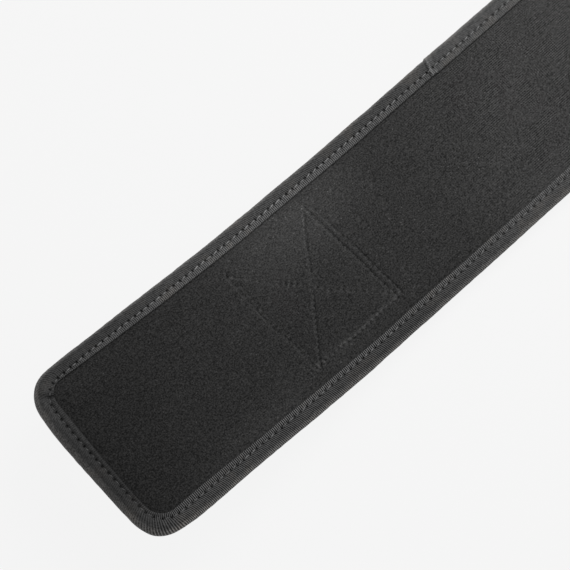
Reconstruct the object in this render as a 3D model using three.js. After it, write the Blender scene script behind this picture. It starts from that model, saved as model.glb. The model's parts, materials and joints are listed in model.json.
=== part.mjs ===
// A nylon lifting belt, laid open on a flat surface with its inner face up.
// A padded body is bound all round with tape. On the outer face, which lies underneath, a webbing
// strap runs from a steel ring near one end to past the other end, where its tip carries a hook patch.
// Millimetres, +Z up. X runs along the belt, from the end with the ring to the tip of the strap.
import * as THREE from "three";

// Body
const beltLength = 900; // tip to tip, measured along the belt
const beltWidth = 102; // over the binding
const cornerRadius = 19;
const edgeThickness = 8; // over both layers of the binding
const crownHeight = 1.8; // how far the padding swells above its bound edge, on the inner face
const crownReach = 6; // from the tape's edge to where the padding is full
const liningThickness = 1;
const clearance = 0.3; // between pieces that lie against each other

// Binding tape
const tapeThickness = 1;
const tapeCover = 9.8; // how much of each face the tape covers, from the belt's outline
const lapStart = 273; // where the folded end of the tape lies over its beginning
const lapLength = 12;
const lapStep = 0.8; // length over which the tape climbs onto the lap

// Lie of the belt: the middle is flat on the floor and both ends curl up from it
const nearCurl = 240;
const farCurl = 180;
const curlRadius = 667;

// Strap on the outer face
const strapWidth = 76;
const strapThickness = 2;
const strapSelvedge = 0.5; // how much the strap's edge is rounded off
const strapCutRadius = 2; // corners of the hidden end
const strapTipRadius = 12; // corners of the free tip
const anchorStart = 121; // the square that is sewn through the body, from the belt's tip to its first seam
const anchorLength = 56;
const anchorMargin = 4; // webbing beyond a cross seam
const strapDrop = 62; // length over which the free strap sinks to the floor
const strapBeyond = 230; // free strap past the far end of the body

// Hook patch under the strap's tip
const patchLength = 90;
const patchWidth = 70;
const patchThickness = 1.5;
const patchRadius = 6;
const patchInset = 6; // from the strap's tip to the patch
const rampLength = 14; // over which the strap climbs onto the patch

// Ring
const wire = 5;
const ringOpening = 22;
const ringSideRoom = 4; // between the strap's edge and the ring's short side
const ringBendRadius = 3.5; // inner corners
const foldLength = 21; // from the sewn square to the ring's bar

// Smoothness
const curlStep = 16;
const cornerSteps = 7;
const edgeSteps = 6;
const wireSides = 12;
const foldSteps = 5;
const bendSteps = 8;

// Values that follow from the sizes
const bodyFloor = strapThickness + clearance; // underside of the body, above the floor
const liningEdgeTop = edgeThickness - tapeThickness - clearance;
const tapeInnerRadius = edgeThickness / 2 - tapeThickness;
const paddingRadius = tapeInnerRadius - clearance;
const farFlat = beltLength - farCurl;
const upperDepth = clearance + strapThickness / 2; // strap's centre line, below the body
const lowerDepth = upperDepth + strapThickness + clearance;
const loopRadius = wire / 2 + clearance + strapThickness / 2;
const barDepth = upperDepth + loopRadius;
const anchorEnd = anchorStart + anchorLength;
const barStation = anchorStart - foldLength;

// Numbers from a to b in equal steps no longer than step, both ends included.
function evenly(a, b, step) {
  const count = Math.max(1, Math.ceil(Math.abs(b - a) / step - 1e-6));
  return Array.from({ length: count + 1 }, (_, i) => a + ((b - a) * i) / count);
}

// A point of the body: s along it, y across it, h above its underside.
function onBelt(s, y, h) {
  const near = Math.max(nearCurl - s, 0) / curlRadius;
  const far = Math.max(s - farFlat, 0) / curlRadius;
  const lean = near - far;
  const flat = THREE.MathUtils.clamp(s, nearCurl, farFlat);
  const x = flat - curlRadius * Math.sin(near) + curlRadius * Math.sin(far);
  const z = bodyFloor + curlRadius * (1 - Math.cos(lean));
  return new THREE.Vector3(x + h * Math.sin(lean), y, z + h * Math.cos(lean));
}

// Outline of a rounded rectangle as a closed loop of [s, y], inset from its full size.
// It runs from the near end along +y to the far end and back along -y, and its second half
// mirrors its first, so that equal stations face each other across the piece.
function outline({ length, width, nearRadius, farRadius, stations = [] }, inset) {
  const half = [];
  const corner = (radius, far) => {
    const centre = Math.max(radius, inset);
    const r = centre - inset;
    for (let i = 0; i <= cornerSteps; i++) {
      const turn = ((far ? cornerSteps - i : i) / cornerSteps) * (Math.PI / 2);
      const s = centre - r * Math.cos(turn);
      half.push([far ? length - s : s, width / 2 - centre + r * Math.sin(turn)]);
    }
  };
  corner(nearRadius, false);
  for (const s of stations) half.push([s, width / 2 - inset]);
  corner(farRadius, true);
  return [...half, ...half.map(([s, y]) => [s, -y]).reverse()];
}

// A closed mesh from rings of points that correspond. The rings either join up into a tube, or the
// first and last are capped by strips across the piece.
function skin(rings, capped) {
  const n = rings[0].length;
  const index = [];
  const quad = (a, b, c, d) => index.push(a, b, c, a, c, d);
  const spans = capped ? rings.length - 1 : rings.length;
  for (let k = 0; k < spans; k++) {
    const lower = k * n;
    const upper = ((k + 1) % rings.length) * n;
    for (let i = 0; i < n; i++) {
      const j = (i + 1) % n;
      quad(lower + i, upper + i, upper + j, lower + j);
    }
  }
  if (capped) {
    const top = (rings.length - 1) * n;
    for (let i = 0; i < n / 2 - 1; i++) {
      quad(i, i + 1, n - 2 - i, n - 1 - i);
      quad(top + i, top + n - 1 - i, top + n - 2 - i, top + i + 1);
    }
  }
  const geometry = new THREE.BufferGeometry().setFromPoints(rings.flat());
  geometry.setIndex(index);
  geometry.computeVertexNormals();
  return geometry;
}

// A flat piece from levels of [inset, h], bottom cap first, laid by place(s, y, h).
function slab(shape, levels, place) {
  const rings = levels.map(([inset, h]) => outline(shape, inset).map(([s, y]) => place(s, y, h)));
  return skin(rings, true);
}

// A piece that runs all round an outline, with a closed section of [inset, h].
function rim(shape, section, place) {
  const rings = section.map(([inset, h]) =>
    outline(shape, inset).map(([s, y]) => place(s, y, h, inset)),
  );
  return skin(rings, false);
}

// Stations of the body between its corners: close together in the curls and at the lap.
function bodyStations() {
  const near = evenly(cornerRadius, nearCurl, curlStep).slice(1);
  const far = evenly(farFlat, beltLength - cornerRadius, curlStep).slice(0, -1);
  const lap = [lapStart, lapStart + lapStep, lapStart + lapLength, lapStart + lapLength + lapStep];
  return [...new Set([...near, ...lap, ...far])].sort((a, b) => a - b);
}

const body = {
  length: beltLength,
  width: beltWidth,
  nearRadius: cornerRadius,
  farRadius: cornerRadius,
  stations: bodyStations(),
};

// Levels of the padding's rounded edge between two heights, inside the turn of the tape.
function roundedEdge(low, high) {
  const middle = edgeThickness / 2;
  const reach = edgeThickness / 2;
  const angle = (h) => Math.asin(THREE.MathUtils.clamp((h - middle) / paddingRadius, -1, 1));
  const from = angle(low);
  const to = angle(high);
  return Array.from({ length: edgeSteps + 1 }, (_, i) => {
    const turn = from + ((to - from) * i) / edgeSteps;
    return [reach - paddingRadius * Math.cos(turn), middle + paddingRadius * Math.sin(turn)];
  });
}

// Levels of the padding's swell above height h, from the bound edge inwards. It reaches its full
// height where the belt is still wider than its corner.
function crown(h) {
  const start = tapeCover + clearance;
  const reach = Math.min(crownReach, cornerRadius - start - clearance);
  return [
    [start, h],
    [start + reach / 2, h + crownHeight * 0.7],
    [start + reach, h + crownHeight],
  ];
}

// Inner lining: a sheet over the padding, tucked under the tape all round.
function innerLining() {
  const top = liningEdgeTop;
  const low = top - liningThickness;
  const levels = [...crown(low).reverse(), ...roundedEdge(low, top), ...crown(top)];
  return slab(body, levels, onBelt);
}

// Padded shell: the foam and its outer cloth, pinched between the tape's two legs.
function paddedShell() {
  const top = liningEdgeTop - liningThickness - clearance;
  const low = tapeThickness + clearance;
  const start = tapeCover + clearance;
  const reach = Math.min(crownReach, cornerRadius - start - clearance);
  const underside = [
    [start + reach, 0],
    [start, low],
  ];
  const levels = [...underside, ...roundedEdge(low, top), ...crown(top)];
  return slab(body, levels, onBelt);
}

// Edge binding: one tape folded round the edge, with its end lapped over its beginning.
function edgeBinding() {
  const middle = edgeThickness / 2;
  const arc = (radius, from, to) =>
    Array.from({ length: bendSteps + 1 }, (_, i) => {
      const turn = from + ((to - from) * i) / bendSteps;
      return [middle - radius * Math.cos(turn), middle + radius * Math.sin(turn)];
    });
  const quarter = Math.PI / 2;
  const outer = [[tapeCover, 0], ...arc(middle, -quarter, quarter), [tapeCover, edgeThickness]];
  const inner = [
    [tapeCover, edgeThickness - tapeThickness],
    ...arc(tapeInnerRadius, quarter, -quarter),
    [tapeCover, tapeThickness],
  ];
  const onLap = (s, y) => y > 0 && s > lapStart && s < lapStart + lapLength + lapStep;
  const place = (s, y, h, inset) => {
    const fromMiddle = new THREE.Vector2(Math.max(middle - inset, 0), h - middle);
    const outside = fromMiddle.length() > (middle + tapeInnerRadius) / 2;
    if (!outside || !onLap(s, y)) return onBelt(s, y, h);
    const out = fromMiddle.setLength(tapeThickness);
    return onBelt(s, y + out.x, h + out.y);
  };
  return rim(body, [...outer, ...inner], place);
}

// The ring's bar lies in the strap's fold, and its free side rests on the floor.
const bar = onBelt(barStation, 0, -barDepth);
const ringSpan = ringOpening + wire;
const ringTilt = Math.asin(THREE.MathUtils.clamp((bar.z - wire / 2) / ringSpan, 0, 1));

function buckleRing() {
  const shape = {
    length: ringOpening + 2 * wire,
    width: strapWidth + 2 * ringSideRoom + 2 * wire,
    nearRadius: ringBendRadius + wire,
    farRadius: ringBendRadius + wire,
  };
  const section = Array.from({ length: wireSides }, (_, i) => {
    const turn = (i / wireSides) * 2 * Math.PI;
    return [(wire / 2) * (1 - Math.cos(turn)), (wire / 2) * Math.sin(turn)];
  });
  return rim(shape, section, (s, y, h) => new THREE.Vector3(s - wire / 2, y, h));
}

// The strap's centre line seen from the side, as [x, z], from its hidden end round the ring's bar,
// along the underside of the body, down to the floor and over the hook patch to its tip.
function strapLine() {
  const below = (s, depth) => {
    const p = onBelt(s, 0, -depth);
    return new THREE.Vector2(p.x, p.z);
  };
  const returned = evenly(anchorEnd + anchorMargin, anchorStart, curlStep).map((s) => below(s, lowerDepth));
  const fold = Array.from({ length: foldSteps - 1 }, (_, i) => {
    const share = (i + 1) / foldSteps;
    const depth = THREE.MathUtils.lerp(lowerDepth, barDepth + loopRadius, THREE.MathUtils.smoothstep(share, 0, 1));
    return below(anchorStart - foldLength * share, depth);
  });
  const loop = Array.from({ length: bendSteps + 1 }, (_, i) => {
    const turn = (i / bendSteps) * Math.PI;
    return below(barStation - loopRadius * Math.sin(turn), barDepth + loopRadius * Math.cos(turn));
  });
  const leaves = beltLength - anchorStart + anchorMargin;
  const under = [
    ...evenly(barStation, nearCurl, curlStep).slice(1),
    ...evenly(farFlat, leaves, curlStep),
  ].map((s) => below(s, upperDepth));
  const last = under[under.length - 1];
  const before = under[under.length - 2];
  const slope = last.clone().sub(before).setLength(strapDrop / 3);
  const landing = new THREE.Vector2(last.x + strapDrop, strapThickness / 2);
  const drop = new THREE.CubicBezierCurve(
    last,
    last.clone().add(slope),
    landing.clone().sub(new THREE.Vector2(strapDrop / 3, 0)),
    landing,
  );
  const tip = onBelt(beltLength, 0, 0).x + strapBeyond;
  const raised = strapThickness / 2 + patchThickness + clearance;
  const rampEnd = tip - patchInset - patchLength - clearance;
  const ramp = Array.from({ length: foldSteps + 1 }, (_, i) => {
    const share = i / foldSteps;
    const z = THREE.MathUtils.lerp(strapThickness / 2, raised, THREE.MathUtils.smoothstep(share, 0, 1));
    return new THREE.Vector2(rampEnd - rampLength * (1 - share), z);
  });
  return [
    ...returned,
    ...fold,
    ...loop,
    ...under,
    ...drop.getPoints(bendSteps).slice(1),
    ...ramp,
    new THREE.Vector2(tip, raised),
  ];
}

// Turns a side line into a way to lay a flat strip along it: place(t, y, h), with the line's own
// vertices as stations.
function layAlong(line) {
  const reached = [0];
  for (let i = 1; i < line.length; i++) reached.push(reached[i - 1] + line[i].distanceTo(line[i - 1]));
  const normals = line.map((_, i) => {
    const a = line[Math.max(i - 1, 0)];
    const b = line[Math.min(i + 1, line.length - 1)];
    const along = b.clone().sub(a).normalize();
    return new THREE.Vector2(-along.y, along.x);
  });
  const place = (t, y, h) => {
    let i = reached.findIndex((r, k) => k > 0 && r >= t);
    if (i < 1) i = line.length - 1;
    const share = (t - reached[i - 1]) / (reached[i] - reached[i - 1]);
    const p = line[i - 1].clone().lerp(line[i], share);
    const n = normals[i - 1].clone().lerp(normals[i], share).normalize();
    return new THREE.Vector3(p.x + n.x * h, y, p.y + n.y * h);
  };
  return { place, reached, length: reached[reached.length - 1] };
}

function closureStrap() {
  const { place, reached, length } = layAlong(strapLine());
  const shape = {
    length,
    width: strapWidth,
    nearRadius: strapCutRadius,
    farRadius: strapTipRadius,
    stations: reached.filter((t) => t > strapCutRadius + clearance && t < length - strapTipRadius - clearance),
  };
  const face = strapThickness / 2;
  const levels = [
    [strapSelvedge, -face],
    [0, -face + strapSelvedge],
    [0, face - strapSelvedge],
    [strapSelvedge, face],
  ];
  return slab(shape, levels, place);
}

function hookPatch() {
  const shape = {
    length: patchLength,
    width: patchWidth,
    nearRadius: patchRadius,
    farRadius: patchRadius,
  };
  const start = onBelt(beltLength, 0, 0).x + strapBeyond - patchInset - patchLength;
  const levels = [
    [0, 0],
    [0, patchThickness],
  ];
  return slab(shape, levels, (s, y, h) => new THREE.Vector3(start + s, y, h));
}

const finish = (color, roughness, metalness = 0) =>
  new THREE.MeshStandardMaterial({ color, roughness, metalness });

function piece(name, geometry, material) {
  const mesh = new THREE.Mesh(geometry, material);
  mesh.name = name;
  return mesh;
}

const ring = piece("buckle_ring", buckleRing(), finish(0x8a8c90, 0.35, 1));
ring.position.copy(bar);
ring.rotation.y = Math.PI - ringTilt;

const belt = new THREE.Group();
belt.add(
  piece("inner_lining", innerLining(), finish(0x2b2b2c, 0.95)),
  piece("padded_shell", paddedShell(), finish(0x232425, 0.85)),
  piece("edge_binding", edgeBinding(), finish(0x39393a, 0.75)),
  piece("closure_strap", closureStrap(), finish(0x2a2a2b, 0.8)),
  piece("hook_patch", hookPatch(), finish(0x1c1c1d, 0.7)),
  ring,
);

// The origin is on the floor, under the middle of the whole.
const extent = new THREE.Box3().setFromObject(belt, true);
const centre = extent.getCenter(new THREE.Vector3());
belt.position.set(-centre.x, -centre.y, -extent.min.z);

const root = new THREE.Group();
root.add(belt);

export default root;
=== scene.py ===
# %% [markdown]
# A padded lifting belt, laid open
#
# The belt lies on a pale surface with its inner face up, and both ends curl a little off the
# surface, as a belt does that is worn round a waist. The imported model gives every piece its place.
# This lesson replaces each plain solid with a cloth, a thread or a wire that looks like the real
# one, and never moves anything.

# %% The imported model
import json
import math

import bpy
import numpy as np
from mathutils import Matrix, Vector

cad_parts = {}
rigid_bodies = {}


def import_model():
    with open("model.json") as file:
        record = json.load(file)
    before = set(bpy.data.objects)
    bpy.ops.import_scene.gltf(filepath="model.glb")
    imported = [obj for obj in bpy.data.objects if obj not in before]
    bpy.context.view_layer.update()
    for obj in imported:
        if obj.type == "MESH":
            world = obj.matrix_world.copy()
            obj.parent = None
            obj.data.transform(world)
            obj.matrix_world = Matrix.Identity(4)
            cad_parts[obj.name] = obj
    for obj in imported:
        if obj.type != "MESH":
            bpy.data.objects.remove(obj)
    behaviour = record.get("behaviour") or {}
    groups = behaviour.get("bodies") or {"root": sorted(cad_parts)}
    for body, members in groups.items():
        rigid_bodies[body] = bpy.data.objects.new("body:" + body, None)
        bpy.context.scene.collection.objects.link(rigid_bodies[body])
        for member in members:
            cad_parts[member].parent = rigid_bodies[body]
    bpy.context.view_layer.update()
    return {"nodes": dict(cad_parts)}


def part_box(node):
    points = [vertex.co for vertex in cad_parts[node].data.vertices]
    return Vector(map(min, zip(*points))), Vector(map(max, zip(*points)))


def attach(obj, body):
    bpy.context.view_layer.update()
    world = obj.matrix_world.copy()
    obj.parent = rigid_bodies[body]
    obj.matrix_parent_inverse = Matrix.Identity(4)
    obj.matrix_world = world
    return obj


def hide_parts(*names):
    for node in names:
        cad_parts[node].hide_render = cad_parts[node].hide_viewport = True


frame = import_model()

print("nodes:", sorted(frame["nodes"]))

# %% [markdown]
# The lie of the belt
#
# It is easiest to think of the belt while it is flat: s runs along it from the near tip, y across
# it, and h up from its underside. One function then bends the flat belt into its lie, a straight
# middle on the floor with an arc at each end. Every piece below is drawn flat and bent by it, so
# neighbours stay neighbours.

# %% Sizes in millimetres, and the bend
MM = 0.001
belt_length, belt_width, corner_radius = 900.0, 102.0, 19.0
edge_thickness, tape_thickness, tape_cover = 8.0, 1.0, 9.8
near_curl, far_curl, curl_radius = 240.0, 180.0, 667.0
body_floor = 2.3
half_width, half_edge = belt_width / 2, edge_thickness / 2


def bent(s, y, h):
    """Flat belt coordinates to a bent point, in millimetres, before it is moved into the frame."""
    s, y, h = np.broadcast_arrays(*(np.asarray(v, float) for v in (s, y, h)))
    near = np.maximum(near_curl - s, 0) / curl_radius
    far = np.maximum(s - belt_length + far_curl, 0) / curl_radius
    lean = near - far
    flat = np.clip(s, near_curl, belt_length - far_curl)
    x = flat - curl_radius * np.sin(near) + curl_radius * np.sin(far)
    z = body_floor + curl_radius * (1 - np.cos(lean))
    return np.stack([x + h * np.sin(lean), y, z + h * np.cos(lean)], -1)


edge_turn = np.radians(np.linspace(-90, 90, 9))
near_rim = bent(half_edge * (1 - np.cos(edge_turn)), 0, half_edge * (1 + np.sin(edge_turn)))
binding_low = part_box("edge_binding")[0]
shift = np.array([binding_low[0] / MM - near_rim[:, 0].min(), binding_low[1] / MM + half_width, 0.0])


def lay(s, y, h):
    """Flat belt coordinates in millimetres to a place in the frame, in metres."""
    return (bent(s, y, h) + shift) * MM


print("near tip at", lay(0, 0, 0).round(4), "far tip at", lay(belt_length, 0, 0).round(4))

# %% [markdown]
# The camera
#
# The picture is taken from high above, a little from the near end and from one long side, through
# a long lens. The angle, distance and lens come from fitting the belt's two straight edges and its
# curled end, so they are set as numbers and not by eye.

# %% Camera
azimuth, elevation = math.radians(-42.34), math.radians(76.27)
camera_distance, focal_pixels, image_pixels = 1.0119, 1991.6, 570
aim = np.array([lay(0, 0, 0)[0] + 0.1392, shift[1] * MM + 0.0119, 0.0])
back = np.array([
    math.sin(azimuth) * math.cos(elevation),
    -math.cos(azimuth) * math.cos(elevation),
    math.sin(elevation),
])
camera_data = bpy.data.cameras.new("camera")
camera_data.sensor_width = 36.0
camera_data.lens = focal_pixels * camera_data.sensor_width / image_pixels
camera = bpy.data.objects.new("camera", camera_data)
camera.location = aim + back * camera_distance
camera.rotation_euler = (math.pi / 2 - elevation, 0.0, azimuth)
bpy.context.scene.collection.objects.link(camera)
bpy.context.scene.camera = camera
print("lens", round(camera_data.lens, 1), "mm at", [round(v, 3) for v in camera.location])

# %% [markdown]
# Writing node trees as Python
#
# A finish is a tree of shader nodes, and a repeat is a tree of geometry nodes. Both are easier to
# read as expressions than as pictures of wires. A Wire is one output socket that understands sums
# and products, and node() adds any other node.

# %% Wires and nets
class Wire:
    """An output socket that can be used in sums; each operation adds its Math node."""

    def __init__(self, net, socket):
        self.net = net
        self.socket = socket

    def math(self, operation, *others):
        """This socket and others through one Math node."""
        inputs = dict(enumerate((self, *others)))
        return self.net.node("ShaderNodeMath", {"operation": operation}, inputs)

    def __add__(self, other):
        return self.math("ADD", other)

    def __mul__(self, other):
        return self.math("MULTIPLY", other)

    def __sub__(self, other):
        return self.math("SUBTRACT", other)

    def __rsub__(self, other):
        return self.net.node("ShaderNodeMath", {"operation": "SUBTRACT"}, {0: other, 1: self})

    __radd__ = __add__
    __rmul__ = __mul__


class Net:
    """A node tree in the making."""

    def __init__(self, tree):
        self.tree = tree

    def node(self, kind, settings=None, inputs=None, output=0):
        """Adds a node: its settings first, then a value or a wire for each socket."""
        made = self.tree.nodes.new(kind)
        for key, value in (settings or {}).items():
            setattr(made, key, value)
        for key, value in (inputs or {}).items():
            if isinstance(value, Wire):
                self.tree.links.new(value.socket, made.inputs[key])
            else:
                made.inputs[key].default_value = value
        return Wire(self, made.outputs[output]) if len(made.outputs) else None


class Finish(Net):
    """A material whose surface is one Principled shader."""

    def __init__(self, name):
        self.material = bpy.data.materials.new(name)
        self.material.use_nodes = True
        super().__init__(self.material.node_tree)
        self.tree.nodes.clear()

    def cloth(self):
        """Millimetres along and across the cloth, from the piece's own UV map."""
        uv = self.node("ShaderNodeUVMap", {"uv_map": "cloth"})
        parts = self.tree.nodes.new("ShaderNodeSeparateXYZ")
        self.tree.links.new(uv.socket, parts.inputs[0])
        return Wire(self, parts.outputs[0]) * 1000.0, Wire(self, parts.outputs[1]) * 1000.0

    def tone(self, name="tone"):
        """How light the cloth is painted at a point, which carries painted light and shade, or another
        number that the piece's mesh holds.
        """
        return self.node("ShaderNodeAttribute", {"attribute_name": name}, output=2)

    def place(self):
        """The point's place in the frame, in metres."""
        return self.node("ShaderNodeTexCoord", output="Object")

    def noise(self, size_mm, detail=3.0, stretch=None, roughness=0.5):
        """Noise from 0 to 1 whose blots are about size_mm across."""
        where = self.place()
        if stretch is not None:
            where = self.node("ShaderNodeMapping", {}, {"Vector": where, "Scale": stretch})
        settings = {"noise_dimensions": "3D", "normalize": True}
        inputs = {"Vector": where, "Scale": 1000.0 / size_mm, "Detail": detail, "Roughness": roughness}
        return self.node("ShaderNodeTexNoise", settings, inputs)

    def smooth(self, value, low, high, bottom=0.0, top=1.0):
        """Value from low to high, turned into a soft step from bottom to top."""
        inputs = {"Value": value, "From Min": low, "From Max": high, "To Min": bottom, "To Max": top}
        return self.node("ShaderNodeMapRange", {"interpolation_type": "SMOOTHSTEP"}, inputs)

    def mix(self, share, first, second):
        """A colour between two colours."""
        return self.node("ShaderNodeMix", {"data_type": "RGBA"}, {0: share, 6: first, 7: second}, output=2)

    def bump(self, height, depth_mm, strength=1.0):
        """Tilts the light on the surface as a relief of this height would."""
        inputs = {"Height": height, "Distance": depth_mm * MM, "Strength": strength}
        return self.node("ShaderNodeBump", {}, inputs)

    def surface(self, **inputs):
        """Ends the finish with its shader and returns the material."""
        shader = self.node("ShaderNodeBsdfPrincipled", {}, inputs)
        self.node("ShaderNodeOutputMaterial", {}, {"Surface": shader})
        return self.material


def grey(value, warmth=0.0):
    """A linear grey, turned a little towards brown by warmth."""
    return (value * (1 + warmth), value, value * (1 - warmth), 1.0)


print("nets are ready")

# %% [markdown]
# Floor
#
# A plain pale floor that gives off some light of its own keeps the shadow under the curled end
# faint, as on a bright photo table. Its rim rises like a bowl's, so that a low camera sees no
# horizon. It lies a hair under the belt, so that no two faces share a plane.

# %% Floor
floor_radius, floor_sides, floor_drop = 9.0, 48, 0.0001
floor_rings = [(floor_radius, 0.0)]
for turn in np.radians(np.linspace(10, 60, 6)):
    rim_radius = floor_radius + floor_radius * math.sin(turn)
    floor_rings.append((rim_radius, floor_radius - floor_radius * math.cos(turn)))
floor_turns = [k * 2 * math.pi / floor_sides for k in range(floor_sides)]
floor_points = [
    (radius * math.cos(turn), radius * math.sin(turn), height - floor_drop)
    for radius, height in floor_rings for turn in floor_turns
]
floor_faces = [tuple(range(floor_sides))]
for ring in range(len(floor_rings) - 1):
    for k in range(floor_sides):
        inner, outer = ring * floor_sides, (ring + 1) * floor_sides
        beside = (k + 1) % floor_sides
        floor_faces.append((inner + k, outer + k, outer + beside, inner + beside))
floor_mesh = bpy.data.meshes.new("floor")
floor_mesh.from_pydata(floor_points, [], floor_faces)
floor = bpy.data.objects.new("floor", floor_mesh)
bpy.context.scene.collection.objects.link(floor)
floor_finish = Finish("pale_floor")
floor.data.materials.append(floor_finish.surface(**{
    "Base Color": grey(0.03),
    "Roughness": 0.9,
    "Specular IOR Level": 0.0,
    "Emission Color": grey(1.0),
    "Emission Strength": 0.885,
}))
print("floor:", len(floor_faces), "faces")

# %% [markdown]
# Light
#
# One large soft lamp stands beyond the far end, on the side of the upper edge. It draws soft
# shadows and lets the ribs and stitches stand out, and the pale surroundings fill in the rest.

# %% Lamp and surroundings
lamp_data = bpy.data.lights.new("soft_lamp", "AREA")
lamp_data.shape = "DISK"
lamp_data.size = 0.45
lamp_data.energy = 4.2
lamp = bpy.data.objects.new("soft_lamp", lamp_data)
lamp_place = np.array([aim[0] + 0.37, 0.12, 0.52])
lamp.location = lamp_place
toward = aim + np.array([0.12, 0.0, 0.0]) - lamp_place
lamp.rotation_euler = (
    math.atan2(math.hypot(toward[0], toward[1]), -toward[2]),
    0.0,
    math.atan2(toward[1], toward[0]) - math.pi / 2,
)
bpy.context.scene.collection.objects.link(lamp)

world = bpy.data.worlds.new("pale_room")
world.use_nodes = True
world.node_tree.nodes["Background"].inputs["Color"].default_value = grey(1.0)
world.node_tree.nodes["Background"].inputs["Strength"].default_value = 0.36
bpy.context.scene.world = world
bpy.context.scene.view_settings.view_transform = "Standard"
print("lamp at", lamp_place.round(3))

# %% [markdown]
# Skins from arrays
#
# Most pieces are skins over an array of points: rows along the piece, and in each row a loop round
# its section. The UV map called cloth holds real distances along and across the cloth, so that a
# weave drawn on it has its true scale and follows every bend.

# %% Meshes
def add_piece(name, mesh, finish, smooth=True):
    """Puts a mesh in the scene as a piece of its own, with its finish."""
    piece = bpy.data.objects.new(name, mesh)
    bpy.context.scene.collection.objects.link(piece)
    mesh.materials.clear()
    mesh.materials.append(finish)
    mesh.polygons.foreach_set("use_smooth", [smooth] * len(mesh.polygons))
    return piece


def make_mesh(name, points, faces, cloth, tone=None):
    """A mesh whose faces all point outwards, with its cloth map, one (u, v) a corner, and its tones."""
    points = np.asarray(points, float)
    corners = [points[[f[k] for f in faces if len(f) > 2]] for k in range(3)]
    inside = np.einsum("ij,ij->i", corners[0], np.cross(corners[1], corners[2])).sum()
    if inside < 0:
        faces = [f[::-1] for f in faces]
        cloth = [c[::-1] for c in cloth]
    mesh = bpy.data.meshes.new(name)
    mesh.from_pydata(points.tolist(), [], faces)
    layer = mesh.uv_layers.new(name="cloth")
    layer.data.foreach_set("uv", np.concatenate([np.ravel(c) for c in cloth]))
    tones = mesh.attributes.new("tone", "FLOAT", "POINT")
    tones.data.foreach_set("value", np.ones(len(points)) if tone is None else np.ravel(tone))
    mesh.validate()
    mesh.update()
    return mesh


def wrap(name, points, along, across, ring, tone=None):
    """A skin over rows of loops. ring joins the last row to the first, else both ends are capped.
    along has one value more than there are rows on a ring, and across one more than a loop has."""
    rows, loop = points.shape[:2]
    i, j = np.meshgrid(np.arange(rows if ring else rows - 1), np.arange(loop), indexing="ij")
    i, j = i.ravel(), j.ravel()
    below, beside = (i + 1) % rows, (j + 1) % loop
    faces = np.stack([i * loop + j, below * loop + j, below * loop + beside, i * loop + beside], 1)
    u, v = np.asarray(along) * MM, np.asarray(across) * MM
    cloth = np.stack([
        np.stack([u[i], v[j]], -1),
        np.stack([u[i + 1], v[j]], -1),
        np.stack([u[i + 1], v[j + 1]], -1),
        np.stack([u[i], v[j + 1]], -1),
    ], 1)
    faces, cloth = faces.tolist(), list(cloth)
    if not ring:
        faces += [list(range(loop))[::-1], list(range((rows - 1) * loop, rows * loop))]
        cloth += [np.stack([np.full(loop, u[0]), v[:loop][::-1]], -1)]
        cloth += [np.stack([np.full(loop, u[-1]), v[:loop]], -1)]
    return make_mesh(name, points.reshape(-1, 3), faces, cloth, tone)


def plate(name, s, y, fine, coarse, skip, tone=1.0):
    """A closed plate from a fine face over the grid s, y and a coarse one with every skip-th column."""
    rows, columns = s.shape
    few = sorted(set(range(0, columns, skip)) | {columns - 1})
    sparse = len(few)
    second = rows * columns
    points = np.concatenate([
        lay(s, y, fine).reshape(-1, 3),
        lay(s[:, few], y[:, few], coarse[:, few]).reshape(-1, 3),
    ])
    flat = np.concatenate([
        np.stack([s, y], -1).reshape(-1, 2),
        np.stack([s[:, few], y[:, few]], -1).reshape(-1, 2),
    ]) * MM
    faces = []
    for start, width, turn in ((0, columns, 1), (second, sparse, -1)):
        i, j = np.meshgrid(np.arange(rows - 1), np.arange(width - 1), indexing="ij")
        a = (start + i * width + j).ravel()
        faces += np.stack([a, a + width, a + width + 1, a + 1], 1)[:, ::turn].tolist()
    for r in range(rows - 1):
        a, b = r * columns, second + r * sparse
        faces.append([a, b, b + sparse, a + columns])
        a, b = a + columns - 1, b + sparse - 1
        faces.append([a, a + columns, b + sparse, b])
    last, last_coarse = (rows - 1) * columns, second + (rows - 1) * sparse
    faces.append([*range(columns), *range(second + sparse - 1, second - 1, -1)])
    faces.append([*range(last + columns - 1, last - 1, -1), *range(last_coarse, last_coarse + sparse)])
    tones = np.ones(len(points))
    tones[:second] = np.ravel(np.broadcast_to(tone, s.shape))
    return make_mesh(name, points, faces, [flat[f] for f in faces], tones)


def waves(a, b, seed, longest, shortest, count=14):
    """Soft seeded unevenness of about -1 to 1 over a plane, from a few long waves."""
    chance = np.random.default_rng(seed)
    total = 0.0
    for _ in range(count):
        length = math.exp(chance.uniform(math.log(shortest), math.log(longest)))
        angle, phase = chance.uniform(0, 2 * math.pi, 2)
        total = total + np.sin((a * math.cos(angle) + b * math.sin(angle)) * 2 * math.pi / length + phase)
    return total / math.sqrt(count)


print("mesh helpers are ready")
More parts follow.
